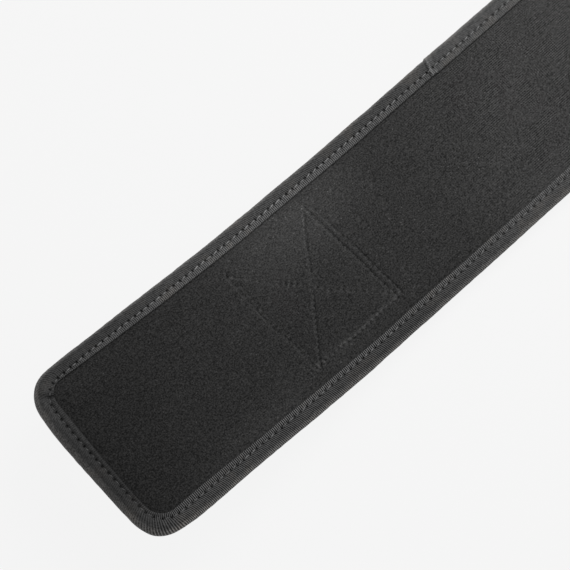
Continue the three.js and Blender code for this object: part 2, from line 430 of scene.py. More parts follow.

# %% [markdown]
# The sewn square
#
# The strap on the outer face is held by a square with a cross in it, sewn through the whole belt.
# The machine goes round the square, over one diagonal, up a second line beside the far seam and
# back over the other diagonal. On the lining the stitches sink into the padding and draw grooves,
# with pillows between them. The route is a short table of corners and a few wavering points.
#
# Each leg of the route has its points, as (s, y), and how it looks. pull: how hard it draws the
# lining in. thread: how deep its stitches lie. dots: how much darker the lining is painted at each
# needle hole, a painted shade in the hole, and lighter between the holes, a painted glint of the
# thread. stripes: painted lighter and darker lines beside the seam, the lit and shaded walls of its
# groove and on the lower side the thread's glint, as (distance, gain).

# %% Route of the seam
square = {
    "upper side": {
        "pull": 0.1, "thread": -0.6, "dots": -0.1,
        "stripes": [(0.3, 0.18)],
        "points": [(121.0, 30.6), (128.9, 31.2), (143.0, 32.2), (158.3, 33.2), (175.6, 33.9)],
    },
    "far side": {
        "pull": 0.7, "thread": -0.3, "dots": 0.0,
        "stripes": [(-0.75, 0.3), (0.65, -0.31)],
        "points": [
            (175.6, 33.9), (175.9, 25.3), (176.2, 15.6), (176.9, 4.0), (177.7, -7.5),
            (177.8, -18.2), (178.8, -30.1), (178.9, -33.2),
        ],
    },
    "lower side": {
        "pull": 0.3, "thread": -0.3, "dots": -1.3,
        "stripes": [(-0.6, -0.3), (0.55, 0.85), (1.4, 0.2)],
        "points": [(178.9, -33.2), (164.0, -33.2), (157.2, -33.7), (148.6, -33.9), (140.6, -33.2)],
    },
    "lower side, near part": {
        "pull": 0.2, "thread": -0.3, "dots": -1.3,
        "stripes": [(0.2, 0.35)],
        "points": [(140.6, -33.2), (122.6, -33.4)],
    },
    "near side": {
        "pull": 0.4, "thread": -0.4, "dots": -0.7,
        "stripes": [(-1.9, 0.42), (-0.45, -0.5), (0.55, 0.4), (1.9, -0.36)],
        "points": [
            (122.6, -33.4), (122.8, -18.6), (122.0, -12.4), (120.9, -5.1), (120.4, 3.2),
            (120.6, 13.0), (120.9, 22.7), (121.0, 30.6),
        ],
    },
    "first diagonal": {
        "pull": 0.15, "thread": -0.6, "dots": -0.7,
        "stripes": [(-0.8, 0.07), (0.35, -0.06)],
        "points": [(121.0, 30.6), (136.6, 12.1), (145.3, 4.4), (149.2, -0.9)],
    },
    "first diagonal, far part": {
        "pull": 0.1, "thread": -0.6, "dots": -1.1,
        "stripes": [(-0.8, 0.07), (0.5, 0.14)],
        "points": [(149.2, -0.9), (156.5, -8.3), (182.1, -32.7)],
    },
    "second far side": {
        "pull": 0.7, "thread": -0.3, "dots": -0.2,
        "stripes": [(-0.45, 0.28), (0.75, -0.34)],
        "points": [(182.1, -32.7), (181.9, -24.0), (181.2, -15.0), (181.1, -6.5), (180.7, 0.7)],
    },
    "second far side, upper part": {
        "pull": 0.45, "thread": -0.4, "dots": 0.0,
        "stripes": [(-0.3, 0.26), (0.95, -0.14)],
        "points": [(180.7, 0.7), (180.1, 5.0), (179.5, 14.0), (179.0, 26.2), (176.4, 34.1)],
    },
    "second diagonal": {
        "pull": 0.4, "thread": -0.4, "dots": 0.0,
        "stripes": [(-0.45, 0.32), (0.75, -0.26)],
        "points": [(176.4, 34.1), (168.1, 24.7), (162.7, 18.0), (158.7, 11.6), (154.8, 5.8)],
    },
    "second diagonal, lower part": {
        "pull": 0.65, "thread": -0.3, "dots": -0.6,
        "stripes": [(-0.6, 0.42), (0.6, -0.52)],
        "points": [
            (154.8, 5.8), (146.2, -5.3), (140.9, -12.2), (134.1, -20.9), (128.9, -27.5),
            (124.6, -33.7),
        ],
    },
}
seam_pitch = 3.2


def walk(points, pitch):
    """Needle holes along a line of points, as near to the pitch as whole stitches allow."""
    points = np.asarray(points, float)
    reached = np.concatenate([[0], np.cumsum(np.linalg.norm(np.diff(points, axis=0), axis=1))])
    holes = np.linspace(0, reached[-1], max(1, round(reached[-1] / pitch)) + 1)
    return np.stack([np.interp(holes, reached, points[:, k]) for k in range(points.shape[1])], -1)


for leg in square.values():
    leg["holes"] = walk(leg["points"], seam_pitch)
print("stitches in one square:", sum(len(leg["holes"]) - 1 for leg in square.values()))

# %% [markdown]
# Grooves and pillows
#
# A groove could be carved by a brush or a height picture. Here each point of the lining works out
# its own depth from its distance to the seam and to the nearest needle hole, so the grooves stay
# sharp and follow the table when a corner of the route is moved.

# %% Grooves and pillows
groove_width, groove_shoulder, hole_width, stripe_width = 0.75, 2.2, 0.7, 0.52
cross_place, pucker_place, first_corner = (151, 0), (142, 6.5), (120.8, 30.8)


def leg_distance(s, y, holes):
    """For each point: the distance from one leg, with a plus sign on the side towards the far end
    or the upper side, and the distance from the leg's nearest needle hole."""
    near_seam = np.full(np.shape(s), 1e3)
    near_hole = np.full(np.shape(s), 1e3)
    for (s0, y0), (s1, y1) in zip(holes[:-1], holes[1:]):
        ds, dy = s1 - s0, y1 - y0
        share = np.clip(((s - s0) * ds + (y - y0) * dy) / (ds * ds + dy * dy), 0, 1)
        off_s, off_y = s - s0 - share * ds, y - y0 - share * dy
        sign = 1 if -dy + 0.3 * ds > 0 else -1
        side = np.where(sign * (ds * off_y - dy * off_s) < 0, -1, 1)
        distance = np.hypot(off_s, off_y)
        near_seam = np.where(distance < np.abs(near_seam), side * distance, near_seam)
        near_hole = np.minimum(near_hole, np.hypot(s - s0, y - y0))
    near_hole = np.minimum(near_hole, np.hypot(s - holes[-1, 0], y - holes[-1, 1]))
    return near_seam, near_hole


def spot(a, b, middle, reach):
    """A soft round spot, 1 in its middle."""
    return np.exp(-(((a - middle[0]) / reach[0]) ** 2 + ((b - middle[1]) / reach[1]) ** 2))


def quilting(s, y):
    """How far the sewn squares draw a face in (negative) or let it swell, in millimetres, and the
    painted light and shade there: light and dark lines for the lit and shaded walls of each groove,
    darker needle holes with lighter thread between them, lit and shaded puckers and a dark pit at the
    first corner."""
    drawn, tone = np.zeros(np.shape(s)), np.ones(np.shape(s))
    for mirrored in (False, True):
        along = belt_length - s if mirrored else s
        across = -y if mirrored else y
        near = (along > 90) & (along < 212) & (np.abs(across) < 60)
        if not near.any():
            continue
        a, b = along[near], across[near]
        depth, light = np.zeros(a.shape), np.ones(a.shape)
        closest = np.full(a.shape, 1e3)
        slack = np.clip(1 + 0.3 * waves(a, b, 22, 20.0, 5.0), 0.65, 1.35)
        slack *= 1 - 0.8 * spot(a, b, cross_place, (4.5, 4.5))
        for leg in square.values():
            seam, hole = leg_distance(a, b, leg["holes"])
            pull = leg["pull"] * slack
            groove = 0.42 * np.exp(-((seam / groove_width) ** 2))
            groove = groove + 0.14 * np.exp(-((seam / groove_shoulder) ** 2))
            pit = 0.5 * np.exp(-((hole / hole_width) ** 2))
            depth = np.minimum(depth, -pull * (groove + pit))
            bead = 0.75 + 0.45 * np.exp(-((hole / 1.0) ** 2))
            # painted light and shade: the lit and shaded walls of the groove beside the seam
            for offset, gain in leg["stripes"]:
                share = slack * (bead if gain < 0 else 1.35 - bead * 0.35)
                stripe = np.exp(-(((seam - offset) / stripe_width) ** 2))
                light *= np.maximum(1 + gain * share * stripe, 0.1)
            # painted shade in each needle hole, and a painted glint of the thread between the holes
            at_hole = np.exp(-((hole / 1.0) ** 2)) - 0.55
            light *= np.maximum(1 + leg["dots"] * at_hole * np.exp(-((seam / 1.3) ** 2)), 0.1)
            closest = np.minimum(closest, np.abs(seam))
        inside = (a > 121) & (a < 178) & (np.abs(b) < 33)
        depth += np.where(inside, 0.3, 0.1) * (1 - np.exp(-closest / 6.0)) * np.exp(-((a - 149) / 60) ** 4)
        depth += 0.35 * spot(a, b, (147, 19), (15, 11))
        depth -= 0.8 * spot(a, b, first_corner, (1.6, 1.4))
        by_seam = np.exp(-((closest / 2.6) ** 2))
        puckers = np.sin((a * 0.62 - b * 0.78) * 2 * math.pi / 2.7)
        puckers = puckers * by_seam * spot(a, b, pucker_place, (7, 7))
        depth += 0.22 * puckers
        drawn[near] = depth + waves(a, b, 21, 6.0, 2.2) * 0.12 * by_seam
        # painted light and shade on the puckers, and painted shade in the pit at the first corner
        tone[near] = light * (1 + 0.5 * puckers) * (1 - 0.7 * spot(a, b, first_corner, (1.2, 1.0)))
    return drawn, np.maximum(tone, 0.1)


middle_depth = quilting(np.array([149.2]), np.array([-0.9]))[0][0]
print("the cross lies", round(float(middle_depth), 2), "mm off the lining's own level")

# %% [markdown]
# How the edge wanders
#
# No sewn edge is as straight as a drawn one: the outline bulges, the row of stitches drifts and the
# tape covers more here and less there. A short table of stations says how, and every piece at the
# edge reads it, so that tape, stitches and lining drift together.
#
# Stations run round the outline from the middle of the near end, towards the upper side as
# positive. outline: bulge outwards; row: depth of the stitches; cover: width of the tape; all in
# mm. face, lip and thread: how light the tape is painted outside and inside its row, and the row's
# stitches, mostly painted light and shade: darker towards the near end, where less light falls, and
# on the thread a painted glint. ribs: how clearly the tape's ribs show.

# %% How the edge wanders
end_run = belt_width - 2 * corner_radius
side_run = belt_length - 2 * corner_radius
stitch_inset = 6.5
corner_run = (corner_radius - stitch_inset) * math.pi / 2
wander_columns = ("station", "outline", "row", "cover", "face", "lip", "thread", "ribs")
wander_rows = [
    (-700, 0.0, 6.5, 9.8, 0.75, 1.05, 0.8, 1.0),
    (-400, 0.1, 6.4, 9.2, 0.86, 1.2, 0.8, 1.0),
    (-280, 0.3, 6.4, 9.1, 0.92, 1.32, 0.7, 1.1),
    (-213, 0.4, 6.4, 9.0, 0.62, 1.18, 0.75, 1.7),
    (-180, 0.8, 6.35, 8.8, 0.66, 1.17, 0.75, 1.8),
    (-150, 0.7, 6.35, 8.7, 0.72, 1.18, 0.75, 1.8),
    (-112, 0.1, 6.4, 9.1, 0.74, 1.08, 0.75, 1.8),
    (-92, 0.15, 6.4, 9.4, 0.75, 1.0, 0.75, 1.8),
    (-72, 0.6, 6.4, 9.6, 0.76, 0.98, 0.7, 1.8),
    (-57, 0.3, 6.1, 9.5, 0.76, 0.98, 0.65, 1.8),
    (-48, -0.4, 6.6, 9.2, 0.74, 0.95, 0.5, 1.7),
    (-42, 1.45, 6.3, 8.6, 0.7, 0.85, 0.4, 1.4),
    (-35, 0.25, 6.3, 8.2, 0.58, 0.62, 0.32, 0.8),
    (-26, 0.65, 5.9, 7.9, 0.42, 0.38, 0.3, 0.4),
    (0, 0.8, 5.6, 8.3, 0.4, 0.39, 0.3, 0.15),
    (16, 0.6, 5.6, 8.8, 0.5, 0.46, 0.3, 0.2),
    (26, 0.25, 6.1, 9.5, 0.62, 0.52, 0.35, 0.3),
    (34, -0.8, 6.9, 10.1, 0.68, 0.62, 0.4, 0.4),
    (40, -0.65, 7.8, 9.7, 0.66, 0.76, 0.5, 0.5),
    (45, -0.5, 8.3, 9.5, 0.62, 0.86, 0.55, 0.6),
    (51, -0.95, 8.4, 9.4, 0.58, 0.95, 0.6, 0.8),
    (60, -0.5, 7.7, 9.3, 0.53, 1.02, 0.85, 0.9),
    (73, -0.2, 6.9, 9.3, 0.54, 1.07, 1.0, 1.0),
    (112, 0.15, 6.9, 9.9, 0.72, 1.32, 1.1, 1.1),
    (150, -0.25, 6.9, 10.3, 0.92, 1.48, 1.35, 1.1),
    (213, -0.05, 6.9, 10.25, 0.84, 1.52, 1.6, 1.15),
    (280, 0.0, 6.9, 10.15, 0.7, 1.15, 1.2, 1.1),
    (330, 0.2, 6.8, 10.1, 1.02, 1.1, 1.0, 0.5),
    (500, 0.0, 6.7, 10.0, 0.95, 1.15, 0.9, 0.9),
    (700, 0.0, 6.5, 9.8, 0.75, 1.05, 0.8, 1.0),
]
wander_table = dict(zip(wander_columns, np.array(wander_rows).T))


def wander(station, column):
    """The table's value at a station, softened over a few millimetres."""
    shifts = (-3.0, -1.5, 0.0, 1.5, 3.0)
    places, values = wander_table["station"], wander_table[column]
    return sum(np.interp(station + d, places, values) for d in shifts) / len(shifts)


def station_beside(s, y):
    """The station of the outline nearest to a point of the flat belt."""
    from_end = np.minimum(s, belt_length - s)
    from_side = half_width - np.abs(y)
    in_corner = (from_end < corner_radius) & (from_side < corner_radius)
    turn = np.arctan2(corner_radius - from_side, corner_radius - from_end) / (math.pi / 2)
    beside_end = np.minimum(np.abs(y), end_run / 2)
    beside_side = end_run / 2 + corner_run + np.maximum(s - corner_radius, 0)
    along_outline = np.where(from_end < from_side, beside_end, beside_side)
    along_outline = np.where(in_corner, end_run / 2 + corner_run * turn, along_outline)
    along_outline = np.where(s > belt_length / 2, 2 * belt_length, along_outline)
    return np.sign(y) * along_outline


print("wander table:", len(wander_rows), "stations")


# %% [markdown]
# Grids over the outline
#
# Lining and body are both grids of rows and columns that fill the belt's rounded outline. In the
# round corners the columns close up, so that the grid's own border is the outline and nothing has
# to be cut off.

# %% Grids over the outline
def inside_edge(s, y):
    """How far a point of the flat belt lies inside its outline."""
    from_end = np.minimum(s, belt_length - s)
    from_side = half_width - np.abs(y)
    corner = corner_radius - np.hypot(
        np.maximum(corner_radius - from_end, 0), np.maximum(corner_radius - from_side, 0)
    )
    return np.where(
        (from_end < corner_radius) & (from_side < corner_radius), corner, np.minimum(from_end, from_side)
    )


def body_grid(inset, rows, columns):
    """A grid over the belt's outline, inset from it, whose columns close up in the round corners."""
    from_end = np.minimum(rows, belt_length - rows)
    r = corner_radius - inset
    sunk = np.clip(corner_radius - from_end, 0, r)
    reach_y = half_width - corner_radius + np.sqrt(r * r - sunk * sunk)
    return np.broadcast_to(rows[:, None], (len(rows), len(columns))), reach_y[:, None] * columns[None, :]


def spread(a, b, step):
    """Even places from a to b, about a step apart."""
    return np.linspace(a, b, max(2, round(abs(b - a) / step) + 1))


def grid_columns(edge_step, middle_step):
    """Shares of the half width from -1 to 1, closer together beside both edges."""
    return np.concatenate([
        spread(-1, -0.8, edge_step), spread(-0.8, 0.8, middle_step)[1:-1], spread(0.8, 1, edge_step),
    ])


print("rows of a plain grid:", len(spread(0, belt_length, 4.0)))

# %% [markdown]
# Lining
#
# The inner face is a soft brushed knit, glued to foam and drawn tight by the edge tape. A cloth
# simulation would let it sag, which glued cloth doesn't do, so its height is worked out instead. It
# is one sheet: a fine face that carries the grooves, the pillows and a slight unevenness, and a
# coarse face below that nobody sees. Rows lie close together only where the seams need them.

# %% Height of the lining
lining_crown, lining_tuck, lining_thickness = 1.6, 6.0, 1.0
lining_low = edge_thickness - tape_thickness - 0.1


def lining_top(s, y):
    """Height of the lining's upper face above the belt's underside, in millimetres."""
    past_tape = np.maximum(inside_edge(s, y) - wander(station_beside(s, y), "cover") + 0.5, 0)
    swell = lining_crown * (1 - np.exp(-((past_tape / 5.0) ** 1.3)))
    uneven = waves(s, y, 5, 90, 22) * 0.16 + waves(s, y, 6, 20, 7) * 0.035
    free = 1 - np.exp(-past_tape / 4.0)
    return lining_low + swell + uneven * free + quilting(s, y)[0]


print("middle of the lining:", lining_top(np.array([300.0]), np.array([0.0])).round(2), "mm up")

# %% [markdown]
# Painted light and shade on the lining
#
# The lining's tone is a number at each point of the mesh, which the finish multiplies its colour by.
# It is mostly painted light and shade: darker towards both ends, as shade where less light falls,
# lighter in the listed patches, and lighter and darker beside the seams. The largest patch, over the
# upper side of the near square, is a painted highlight where the padding bulges towards the lamp.

# %% Painted light and shade on the lining
lighter_patches = [
    # painted highlight where the padding bulges over the near sewn square towards the lamp
    {"s": 164, "y": 34, "length": 58, "width": 36, "gain": 1.15},
    {"s": 78, "y": -44, "length": 90, "width": 17, "gain": 0.62},
    {"s": 25, "y": 38, "length": 40, "width": 14, "gain": 0.20},
    {"s": 300, "y": 10, "length": 90, "width": 60, "gain": 0.15},
    {"s": 272, "y": -44, "length": 70, "width": 18, "gain": 0.50},
    {"s": 262, "y": -18, "length": 34, "width": 18, "gain": 0.22},
]


def lining_tone_and_painted_light(s, y):
    """Painted shade towards both ends, lighter patches, and the painted light and shade of the seams."""
    from_end = np.minimum(s, belt_length - s)
    # painted shade: darker towards both ends, where less light falls
    tone = np.interp(from_end, [0, 30, 80, 180, 230, 260, 300, 340], [
        0.56, 0.62, 0.95, 1.12, 1.16, 1.36, 1.60, 1.83,
    ])
    for patch in lighter_patches:
        reach = ((s - patch["s"]) / patch["length"]) ** 2 + ((y - patch["y"]) / patch["width"]) ** 2
        tone = tone + patch["gain"] * np.exp(-2.2 * reach)
    return tone * quilting(s, y)[1]


print("lighter patches:", len(lighter_patches))

# %% [markdown]
# The lining's mesh
#
# Rows lie 0.45 mm apart over the sewn square that the camera sees, which is fine enough for a
# needle hole, 0.9 mm apart over the far one and 4 mm apart on the plain stretches.

# %% Lining mesh
coarse_step, fine_step, far_step = 4.0, 0.45, 0.9
bands = [
    spread(lining_tuck, 20, 1.6), spread(20, 115, coarse_step), spread(115, 187, fine_step),
    spread(187, 713, coarse_step), spread(713, 785, far_step), spread(785, 880, coarse_step),
    spread(880, belt_length - lining_tuck, 1.6),
]
lining_rows = np.unique(np.concatenate(bands).round(6))
grid_s, grid_y = body_grid(lining_tuck, lining_rows, grid_columns(0.02, 0.0103))
top = lining_top(grid_s, grid_y)
lining_mesh = plate(
    "inner_lining_cloth", grid_s, grid_y, top, top - lining_thickness, 16, lining_tone_and_painted_light(grid_s, grid_y)
)
deepest = float(quilting(grid_s, grid_y)[0].min())
print("lining:", len(lining_mesh.polygons), "faces, grooves to", round(deepest, 2), "mm")

# %% [markdown]
# Finish of the lining
#
# Black brushed knit is not one black: the nap lies in patches, fine wales run along the belt, and
# pale lint sticks to it. Colour and bump come from the same noises, so a tuft that stands up is
# also the one that catches the light.

# %% Lining finish
wale_pitch, course_pitch = 1.064, 1.11


def lining_finish():
    f = Finish("brushed_knit_lining")
    along, across = f.cloth()
    nap = f.noise(0.80, 2.0, roughness=0.6)
    tufts = f.noise(2.2, 2.0)
    patches = f.noise(30.0, 2.0)
    wales = (across * (2 * math.pi / wale_pitch) + f.noise(9.0, 1.0) * 1.2).math("SINE")
    courses = (along * (2 * math.pi / course_pitch) + f.noise(7.0, 1.0) * 2.0).math("SINE")
    from_middle = (along - belt_length / 2).math("ABSOLUTE")
    worn = f.smooth(from_middle, 130.0, 236.0, 1.0, 0.0)
    wale_share = worn * f.smooth(f.noise(13.0, 2.0), 0.42, 0.62)
    course_share = worn * f.smooth(f.noise(11.0, 2.0), 0.5, 0.68)
    knit = wales * (wale_share * 0.62 + 0.08) + courses * (course_share * 0.40 + 0.04)
    fine = f.tone().math("POWER", -0.6) * 5.6
    grain = 1.0 + (nap - 0.5) * fine + (tufts - 0.5) * 0.5 + (patches - 0.5) * 0.35 + knit
    lint = f.smooth(f.noise(1.0, 2.0, roughness=0.4), 0.67, 0.76)
    # the mesh's tone multiplies the colour; it carries the lining's painted light and shade
    level = (grain.math("MAXIMUM", 0.12) * 0.06 + lint * 0.12) * f.tone()
    return f.surface(**{
        "Base Color": f.mix(level, grey(0.0), grey(0.25, 0.01)),
        "Roughness": f.smooth(tufts, 0.3, 0.7, 0.86, 0.96),
        "Specular IOR Level": 0.2,
        "Sheen Weight": 0.05,
        "Sheen Roughness": 0.5,
        "Normal": f.bump(nap * 0.9 + tufts * 0.25 + knit * 0.3, 0.30, 0.8),
    })


lining = add_piece("inner_lining_cloth", lining_mesh, lining_finish())
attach(lining, "root")
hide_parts("inner_lining")
print("lining finished")

# %% [markdown]
# Padded body
#
# Under the lining lies the foam with the outer cloth on it. It is firm laminated foam, so its form
# follows the pinch of the edge tape directly: full in the middle, thin under the tape, drawn in by
# the same sewn squares. The outer face is a plain-woven nylon.

# %% Body mesh
def body_under(s, y):
    """Height of the outer cloth: flat, pinched up under the tape and round at the very edge."""
    depth = inside_edge(s, y)
    pinched = np.exp(-((np.maximum(depth - tape_cover + 1.0, 0) / 3.0) ** 1.5))
    bowl = half_edge - np.sqrt(np.maximum(8.4 - np.clip(2.9 - (depth - 1.1), 0, 2.9) ** 2, 0.01))
    return np.where(depth > 4.0, 1.15 * pinched + waves(s, y, 8, 80, 20) * 0.06 * (1 - pinched), bowl)


def body_top(s, y):
    """Height of the foam's upper side, just under the lining and inside the fold of the tape."""
    depth = inside_edge(s, y)
    bowl = half_edge + np.sqrt(np.maximum(3.0 - np.clip(1.7 - (depth - 1.1), 0, 1.7) ** 2, 0.01))
    return np.minimum(bowl, lining_top(s, y) - lining_thickness - 0.15)


body_rows = np.unique(np.concatenate([
    spread(1.2, 20, 1.3), spread(20, 880, 4.0), spread(880, belt_length - 1.2, 1.3),
]).round(6))
grid_s, grid_y = body_grid(1.2, body_rows, grid_columns(0.014, 0.045))
body_mesh = plate("padded_body", grid_s, grid_y, body_under(grid_s, grid_y), body_top(grid_s, grid_y), 2)
print("padded body:", len(body_mesh.polygons), "faces")

# %% [markdown]
# Finish of the body
#
# Plain-woven nylon is a chessboard of threads, each passing over one and under the next. Two sine
# waves make the threads and their product makes the chessboard.

# %% Body finish
weave_pitch = 0.55


def shell_finish():
    f = Finish("woven_nylon_shell")
    along, across = f.cloth()
    warp_wave = (along * (math.pi / weave_pitch)).math("SINE")
    weft_wave = (across * (math.pi / weave_pitch)).math("SINE")
    threads = (warp_wave.math("ABSOLUTE") + weft_wave.math("ABSOLUTE")) * 0.5
    height = threads + f.smooth(warp_wave * weft_wave, -0.6, 0.6) * 0.4
    tone = f.smooth(height * 0.5 + f.noise(30.0, 2.0) * 0.6 + f.noise(1.0, 2.0) * 0.3, 0.4, 1.3)
    return f.surface(**{
        "Base Color": f.mix(tone, grey(0.007), grey(0.022)),
        "Roughness": f.smooth(f.noise(4.0, 2.0), 0.3, 0.7, 0.6, 0.72),
        "Specular IOR Level": 0.3,
        "Sheen Weight": 0.08,
        "Normal": f.bump(height, 0.12, 0.8),
    })


body = add_piece("padded_body", body_mesh, shell_finish())
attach(body, "root")
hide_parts("padded_shell")
print("body finished")

# %% [markdown]
# Route of the edge tape
#
# A ribbed tape is folded round the edge and sewn through from face to face. It runs round the
# whole belt once, along four straight runs and four round corners. Its route is measured along the
# row of stitches, because a sewer's stitches are evenly long there and not at the outline.

# %% Route of the tape and its stitches
stitch_aim = 4.3
row_length = 2 * side_run + 2 * end_run + 4 * corner_run
stitch_count = round(row_length / stitch_aim)
stitch_pitch = row_length / stitch_count

runs = [
    ("upper side", side_run, (corner_radius, half_width), (1, 0)),
    ("far upper corner", corner_run, None, None),
    ("far end", end_run, (belt_length, half_width - corner_radius), (0, -1)),
    ("far lower corner", corner_run, None, None),
    ("lower side", side_run, (belt_length - corner_radius, -half_width), (-1, 0)),
    ("near lower corner", corner_run, None, None),
    ("near end", end_run, (0, corner_radius - half_width), (0, 1)),
    ("near upper corner", corner_run, None, None),
]
corner_centres = {
    "far upper corner": (belt_length - corner_radius, half_width - corner_radius, 90),
    "far lower corner": (belt_length - corner_radius, corner_radius - half_width, 0),
    "near lower corner": (corner_radius, corner_radius - half_width, -90),
    "near upper corner": (corner_radius, half_width - corner_radius, 180),
}


def edge_point(q):
    """Distance along the stitch row to the outline's point and its outward direction there."""
    q = np.asarray(q, float) % row_length
    point, out = np.zeros((*q.shape, 2)), np.zeros((*q.shape, 2))
    start = 0.0
    for name, length, origin, direction in runs:
        here = (q >= start) & (q <= start + length)
        share = q[here] - start
        if origin is None:
            s, y, first = corner_centres[name]
            angle = np.radians(first - share / corner_run * 90)
            out[here] = np.stack([np.cos(angle), np.sin(angle)], -1)
            point[here] = np.array([s, y]) + out[here] * corner_radius
        else:
            step = np.array(direction, float)
            point[here] = np.array(origin, float) + share[:, None] * step
            out[here] = np.array([-step[1], step[0]])
        start += length
    return point, out


def station_at(q):
    """The wander table's station at a distance along the row."""
    from_end_middle = np.asarray(q, float) + corner_run + end_run / 2
    return (from_end_middle + row_length / 2) % row_length - row_length / 2


def from_hole(q):
    """Distance along the row to the nearest needle hole."""
    part = (q / stitch_pitch) % 1.0
    return np.minimum(part, 1 - part) * stitch_pitch


print("stitches round the edge:", stitch_count, "pitch", round(stitch_pitch, 3), "mm")

# %% [markdown]
# Stations and section of the tape
#
# The skin is a section of the folded tape, carried round the outline. Its stations follow the
# stitches, so that each needle hole has a point of its own to sink. The section goes round the
# tape's outer face and back along its inner face, which lies on the cloth.

# %% Stations and section of the tape
fold_s, fold_slant, lap_end = 276.6, 0.36, 285.0
detail_from, detail_to = 470.0, row_length - 470.0


def tape_stations():
    """Rows of the skin: five a stitch where the belt is looked at closely, four elsewhere."""
    rows = []
    for k in range(stitch_count):
        q = k * stitch_pitch
        close = q < detail_from or q > detail_to
        shares = (0, 0.14, 0.38, 0.62, 0.86) if close else (0, 0.16, 0.5, 0.84)
        rows += [q + stitch_pitch * share for share in shares]
    fold_q = fold_s - corner_radius
    rows += list(spread(fold_q - 5.0, fold_q + 1.0, 0.3))
    return np.unique(np.round(rows, 4))


def tape_section():
    """Points round the folded tape: inset, height, outward normal, distance across the cloth, and
    whether the point is on the outer face."""
    rows = []
    middle, high, thick = half_edge, edge_thickness, tape_thickness
    leg, fold, inner = tape_cover - middle, middle * math.pi, middle - thick
    lip, lip_round = tape_cover + 0.35, 0.22
    for inset in (9.8, 9.1, 8.4, 7.7, 7.1, 6.8, 6.5, 6.2, 5.8, 5.0):
        rows.append((inset, high, 0, 1, tape_cover - inset, 1))
    for turn in np.radians(np.linspace(90, -90, 11)):
        c, s = math.cos(turn), math.sin(turn)
        across = leg + middle * (math.pi / 2 - turn)
        rows.append((middle - middle * c, middle + middle * s, -c, s, across, 1))
    for inset in (5.0, 5.9, 6.5, 7.1, 8.2, 9.8):
        rows.append((inset, 0, 0, -1, leg + fold + inset - middle, 1))
    edge = 2 * leg + fold
    rows.append((lip, lip_round, 0.7, -0.7, edge + 0.4, 0))
    rows.append((lip, thick - lip_round, 0.7, 0.7, edge + 0.9, 0))
    for inset in (9.7, 6.0):
        rows.append((inset, thick, 0, 1, edge + 1.2, 0))
    for turn in np.radians(np.linspace(-80, 80, 5)):
        c, s = math.cos(turn), math.sin(turn)
        rows.append((middle - inner * c, middle + inner * s, c, -s, edge + 1.4, 0))
    for inset in (6.0, 9.7):
        rows.append((inset, high - thick, 0, -1, edge + 1.6, 0))
    rows.append((lip, high - thick + lip_round, 0.7, -0.7, edge + 1.8, 0))
    rows.append((lip, high - lip_round, 0.7, 0.7, edge + 2.0, 0))
    return np.array(rows, float).T


def soft_step(share):
    """A share from 0 to 1 that starts and ends gently."""
    return share * share * (3 - 2 * share)


stations = tape_stations()
across_tape = tape_section()[4]
print("tape:", len(stations), "stations of", len(across_tape), "points")

# %% [markdown]
# The tape's skin
#
# The section is pulled about on its way: each needle hole sinks, the row between holes makes a
# trough, and the lip beside it bulges. On one long side the tape's end, folded under, laps over its
# beginning with a slanted crease and some crumple, and one corner has a tuck.

